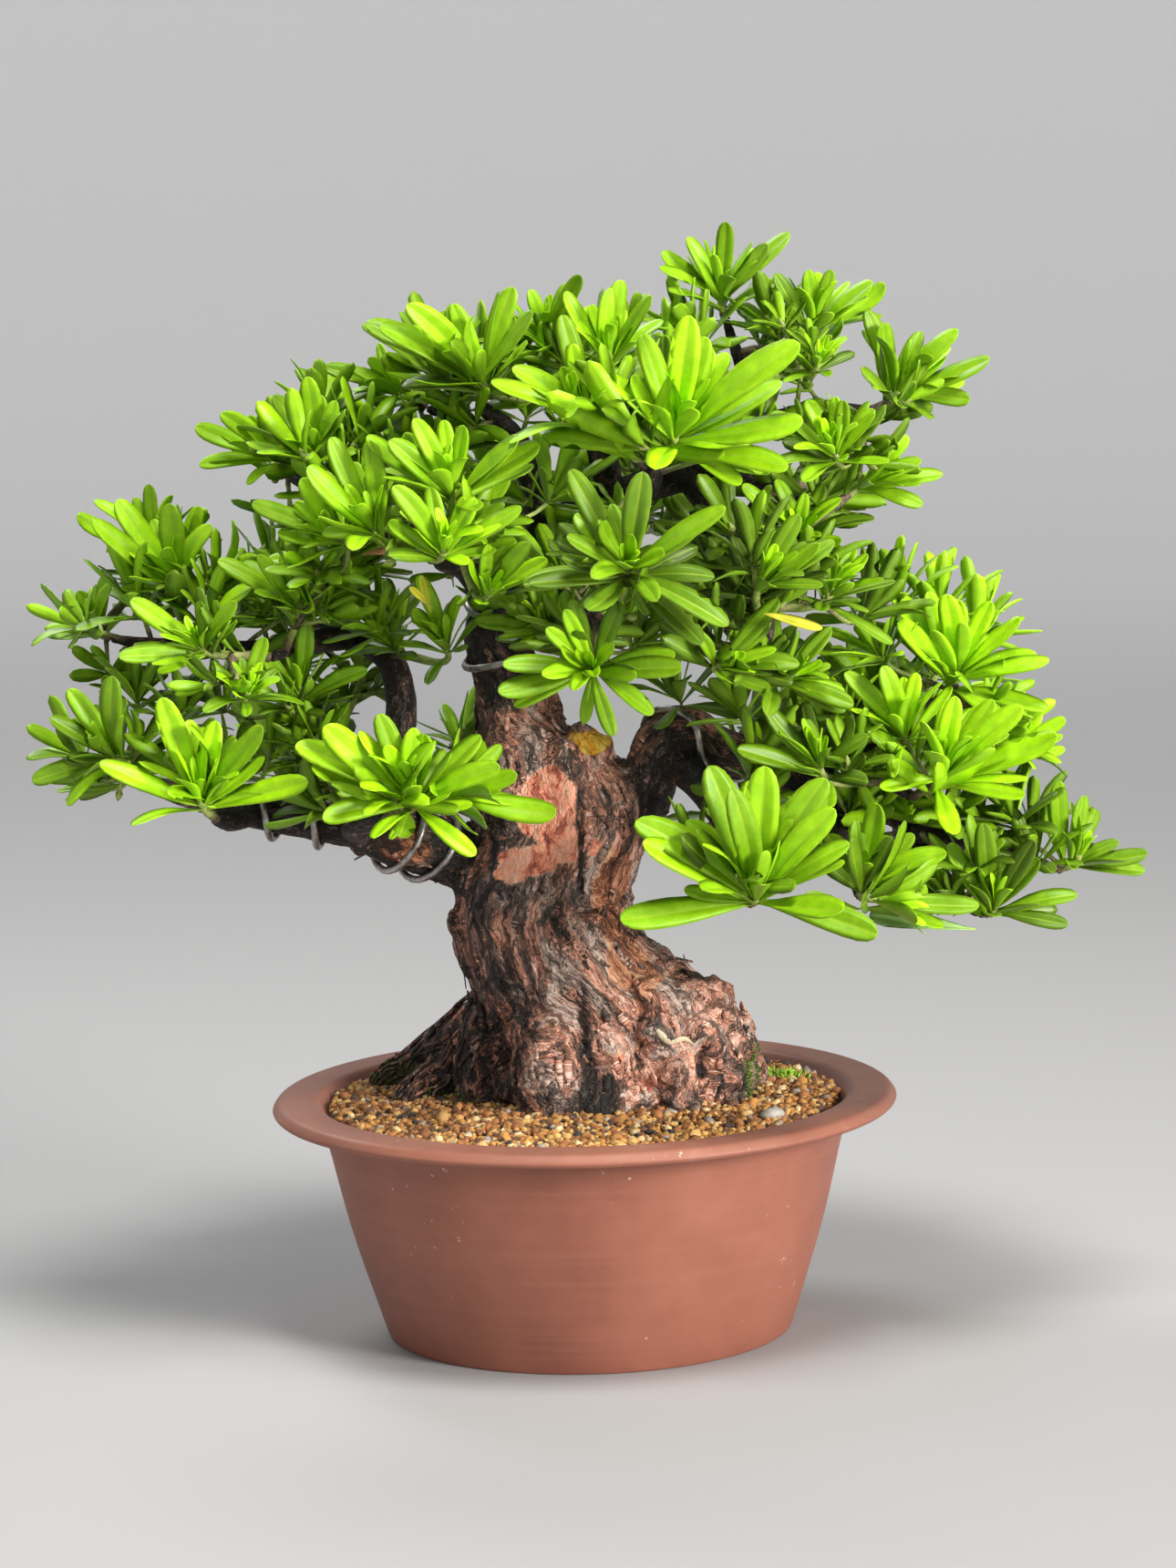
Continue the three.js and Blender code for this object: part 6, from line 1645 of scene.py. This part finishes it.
def stem_block(controls, foot, tip, rng):
    """A knobbly stem and the bud at its end, and the age of the wood at each corner."""
    shares = np.linspace(0, 1, STEM_BUILD["steps"])
    knobs = rng.uniform(*STEM_BUILD["knobs"], len(shares))
    stem = tube(bezier_line(controls, shares), mix(foot, tip, shares) * knobs, STEM_BUILD["sides"])
    axis = unit(controls[3] - controls[2])
    bud_shares = np.linspace(0, 1, len(BUD["radii"]))
    bud = tube(controls[3] + np.outer(bud_shares * BUD["length"], axis), BUD["radii"], BUD["sides"])
    age = np.repeat(1 - shares, STEM_BUILD["sides"])
    return [stem, bud], np.concatenate([age, np.zeros(len(bud[0]))])


def spray_wood(curves, twigs, rng):
    """The stems and twigs of a spray as one block, and the age of the wood at each corner."""
    routes = [(controls, STEM["foot"], STEM["tip"]) for controls in curves]
    routes += [(stem_controls(*twig), 0.8 * STEM["tip"], 0.7 * STEM["tip"]) for twig in twigs]
    blocks, ages = [], []
    for route, foot, tip in routes:
        parts, age = stem_block(route, foot, tip, rng)
        blocks.extend(parts)
        ages.append(age)
    return join(blocks), np.concatenate(ages)


def spray_blades(fine, plain, old_tints, fresh, rng):
    """The leaves of a spray as one block, with each corner's tint and place on its blade."""
    blocks, tints, places = [], [], []
    for leaves, form, known in ((fine, FINE_BLADE, old_tints), (plain, PLAIN_BLADE, [])):
        if not leaves:
            continue
        points, faces, on_blade = blades(leaves, form, rng)
        tint = leaf_tints(leaves, fresh, rng)
        if known:
            tint[:len(known)] = known
        blocks.append((points, faces))
        tints.append(np.repeat(tint, len(points) // len(leaves), axis=0))
        places.append(on_blade)
    return join(blocks), np.concatenate(tints), np.concatenate(places)


def add_sprays():
    rng = np.random.default_rng(7)
    sprays = all_sprays()
    stems, free_seats = grow_stems(sprays)
    inner = inner_shoots(free_seats, stems, rng)
    seed = FIRST_SEED
    for (name, fresh, shoots), curves, small in zip(sprays, stems, inner):
        fine, plain, twigs = grow_leaves(name, shoots, curves, small, seed, rng)
        seed += len(shoots)
        wood, age = spray_wood(curves, twigs, rng)
        old_tints = [row[4] for row in OLD_LEAVES if row[0] == name]
        leaves, tint, place = spray_blades(fine, plain, old_tints, fresh, rng)
        none = np.zeros((len(wood[0]), 3))
        attributes = {
            "tint": np.concatenate([tint, none]),
            "blade": np.concatenate([place, none]),
            "age": np.concatenate([np.zeros(len(leaves[0])), age]),
        }
        face_counts = [sum(len(face) for face in block[1]) for block in (leaves, wood)]
        add_piece(f"leafy_{name}", join([leaves, wood]), [LEAF, TWIG], [name], attributes,
                  np.repeat([0, 1], face_counts))


# Stage, light and camera, in metres
# The radius of the flat floor, the radius of its turn into the wall, and the wall's height
STAGE = {"flat": 4.2, "turn": 1.6, "height": 4.0, "sides": 96}
# Each light's name, place, target, size, power and colour
LIGHTS = [
    ("key", (2.1, -1.95, 0.95), (0, 0, 0.2), 0.9, 122, (1, 0.97, 0.92)),
    ("top", (0.2, -0.9, 2.5), (0, 0, 0.35), 0.9, 62, (1, 0.98, 0.94)),
    ("fill", (-2.0, -1.6, 1.2), (0, 0, 0.3), 1.6, 5, (0.92, 0.96, 1)),
    ("back", (-0.8, 1.3, 1.9), (0, 0, 0.35), 0.9, 24, (1, 1, 1)),
]
# The width of the camera's sensor, in millimetres
SENSOR = 36


def stage_material():
    """Pale grey, and faintly lit towards the wall, so that it stays pale far from the lights."""
    s = Shader("floor")
    x, y, _ = s.split(s.place())
    distance = s.math("SQRT", s.weighed(x, x, s.times(y, y)))
    far = s.step(distance, 1.2, STAGE["flat"])
    s.set(Base_Color=s.blend(far, (0.38, 0.38, 0.385), (0.6, 0.6, 0.605)), Roughness=0.8,
          Emission_Color=(1, 1, 1), Emission_Strength=s.times(far, 0.2))
    return s.material


def add_stage():
    """A pale floor, wide enough for a camera on any side, that turns up softly into a round wall."""
    flat, turn = STAGE["flat"], STAGE["turn"]
    bend = np.linspace(0, math.pi / 2, 20)[1:]
    radius = np.concatenate([[0.5, flat], flat + turn * np.sin(bend), [flat + turn]])
    level = np.concatenate([[0, 0], turn - turn * np.cos(bend), [STAGE["height"]]])
    rings = turned_rings(radius, level, circle(STAGE["sides"]))
    index, walls = ring_walls(*rings.shape[:2])
    floor = make_object("floor", make_mesh("floor", rings.reshape(-1, 3), [turned_over(walls), index[:1]]))
    floor.data.materials.append(stage_material())


def add_light(name, place, target, size, power, colour):
    lamp = bpy.data.lights.new(name, "AREA")
    lamp.shape = "DISK"
    lamp.size = size
    lamp.energy = power
    lamp.color = colour
    light = make_object(name, lamp)
    light.location = place
    light.rotation_euler = (Vector(target) - Vector(place)).to_track_quat("-Z", "Y").to_euler()


def add_camera():
    data = bpy.data.cameras.new("camera")
    data.sensor_width = SENSOR
    data.lens = CAMERA["focal_px"] / CAMERA["long_side_px"] * SENSOR
    data.clip_end = 50
    camera = make_object("camera", data)
    tilt = Matrix.Rotation(math.radians(90 - CAMERA["pitch"]), 4, "X")
    roll = Matrix.Rotation(math.radians(-CAMERA["roll"]), 4, "Z")
    camera.matrix_world = Matrix.Translation(Vector(np.array(CAMERA["place"]) * MM + AXIS)) @ tilt @ roll
    bpy.context.scene.camera = camera


def set_display():
    """Plain display colours, so that the greens stay as vivid as in the photograph."""
    bpy.context.scene.view_settings.view_transform = "Standard"


def add_world():
    world = bpy.data.worlds.new("studio")
    world.use_nodes = True
    background = world.node_tree.nodes["Background"]
    background.inputs["Color"].default_value = (0.95, 0.97, 1, 1)
    background.inputs["Strength"].default_value = 0.15
    bpy.context.scene.world = world


set_display()
add_camera()
add_stage()
add_world()
for light in LIGHTS:
    add_light(*light)

add_pot()
wood = add_wood()
for wire_name, wire in WIRES.items():
    add_wire(wire_name, *wire)
add_soil()
add_pebble()
add_chip(wood)
add_weed()
add_moss(wood)
add_sprays()
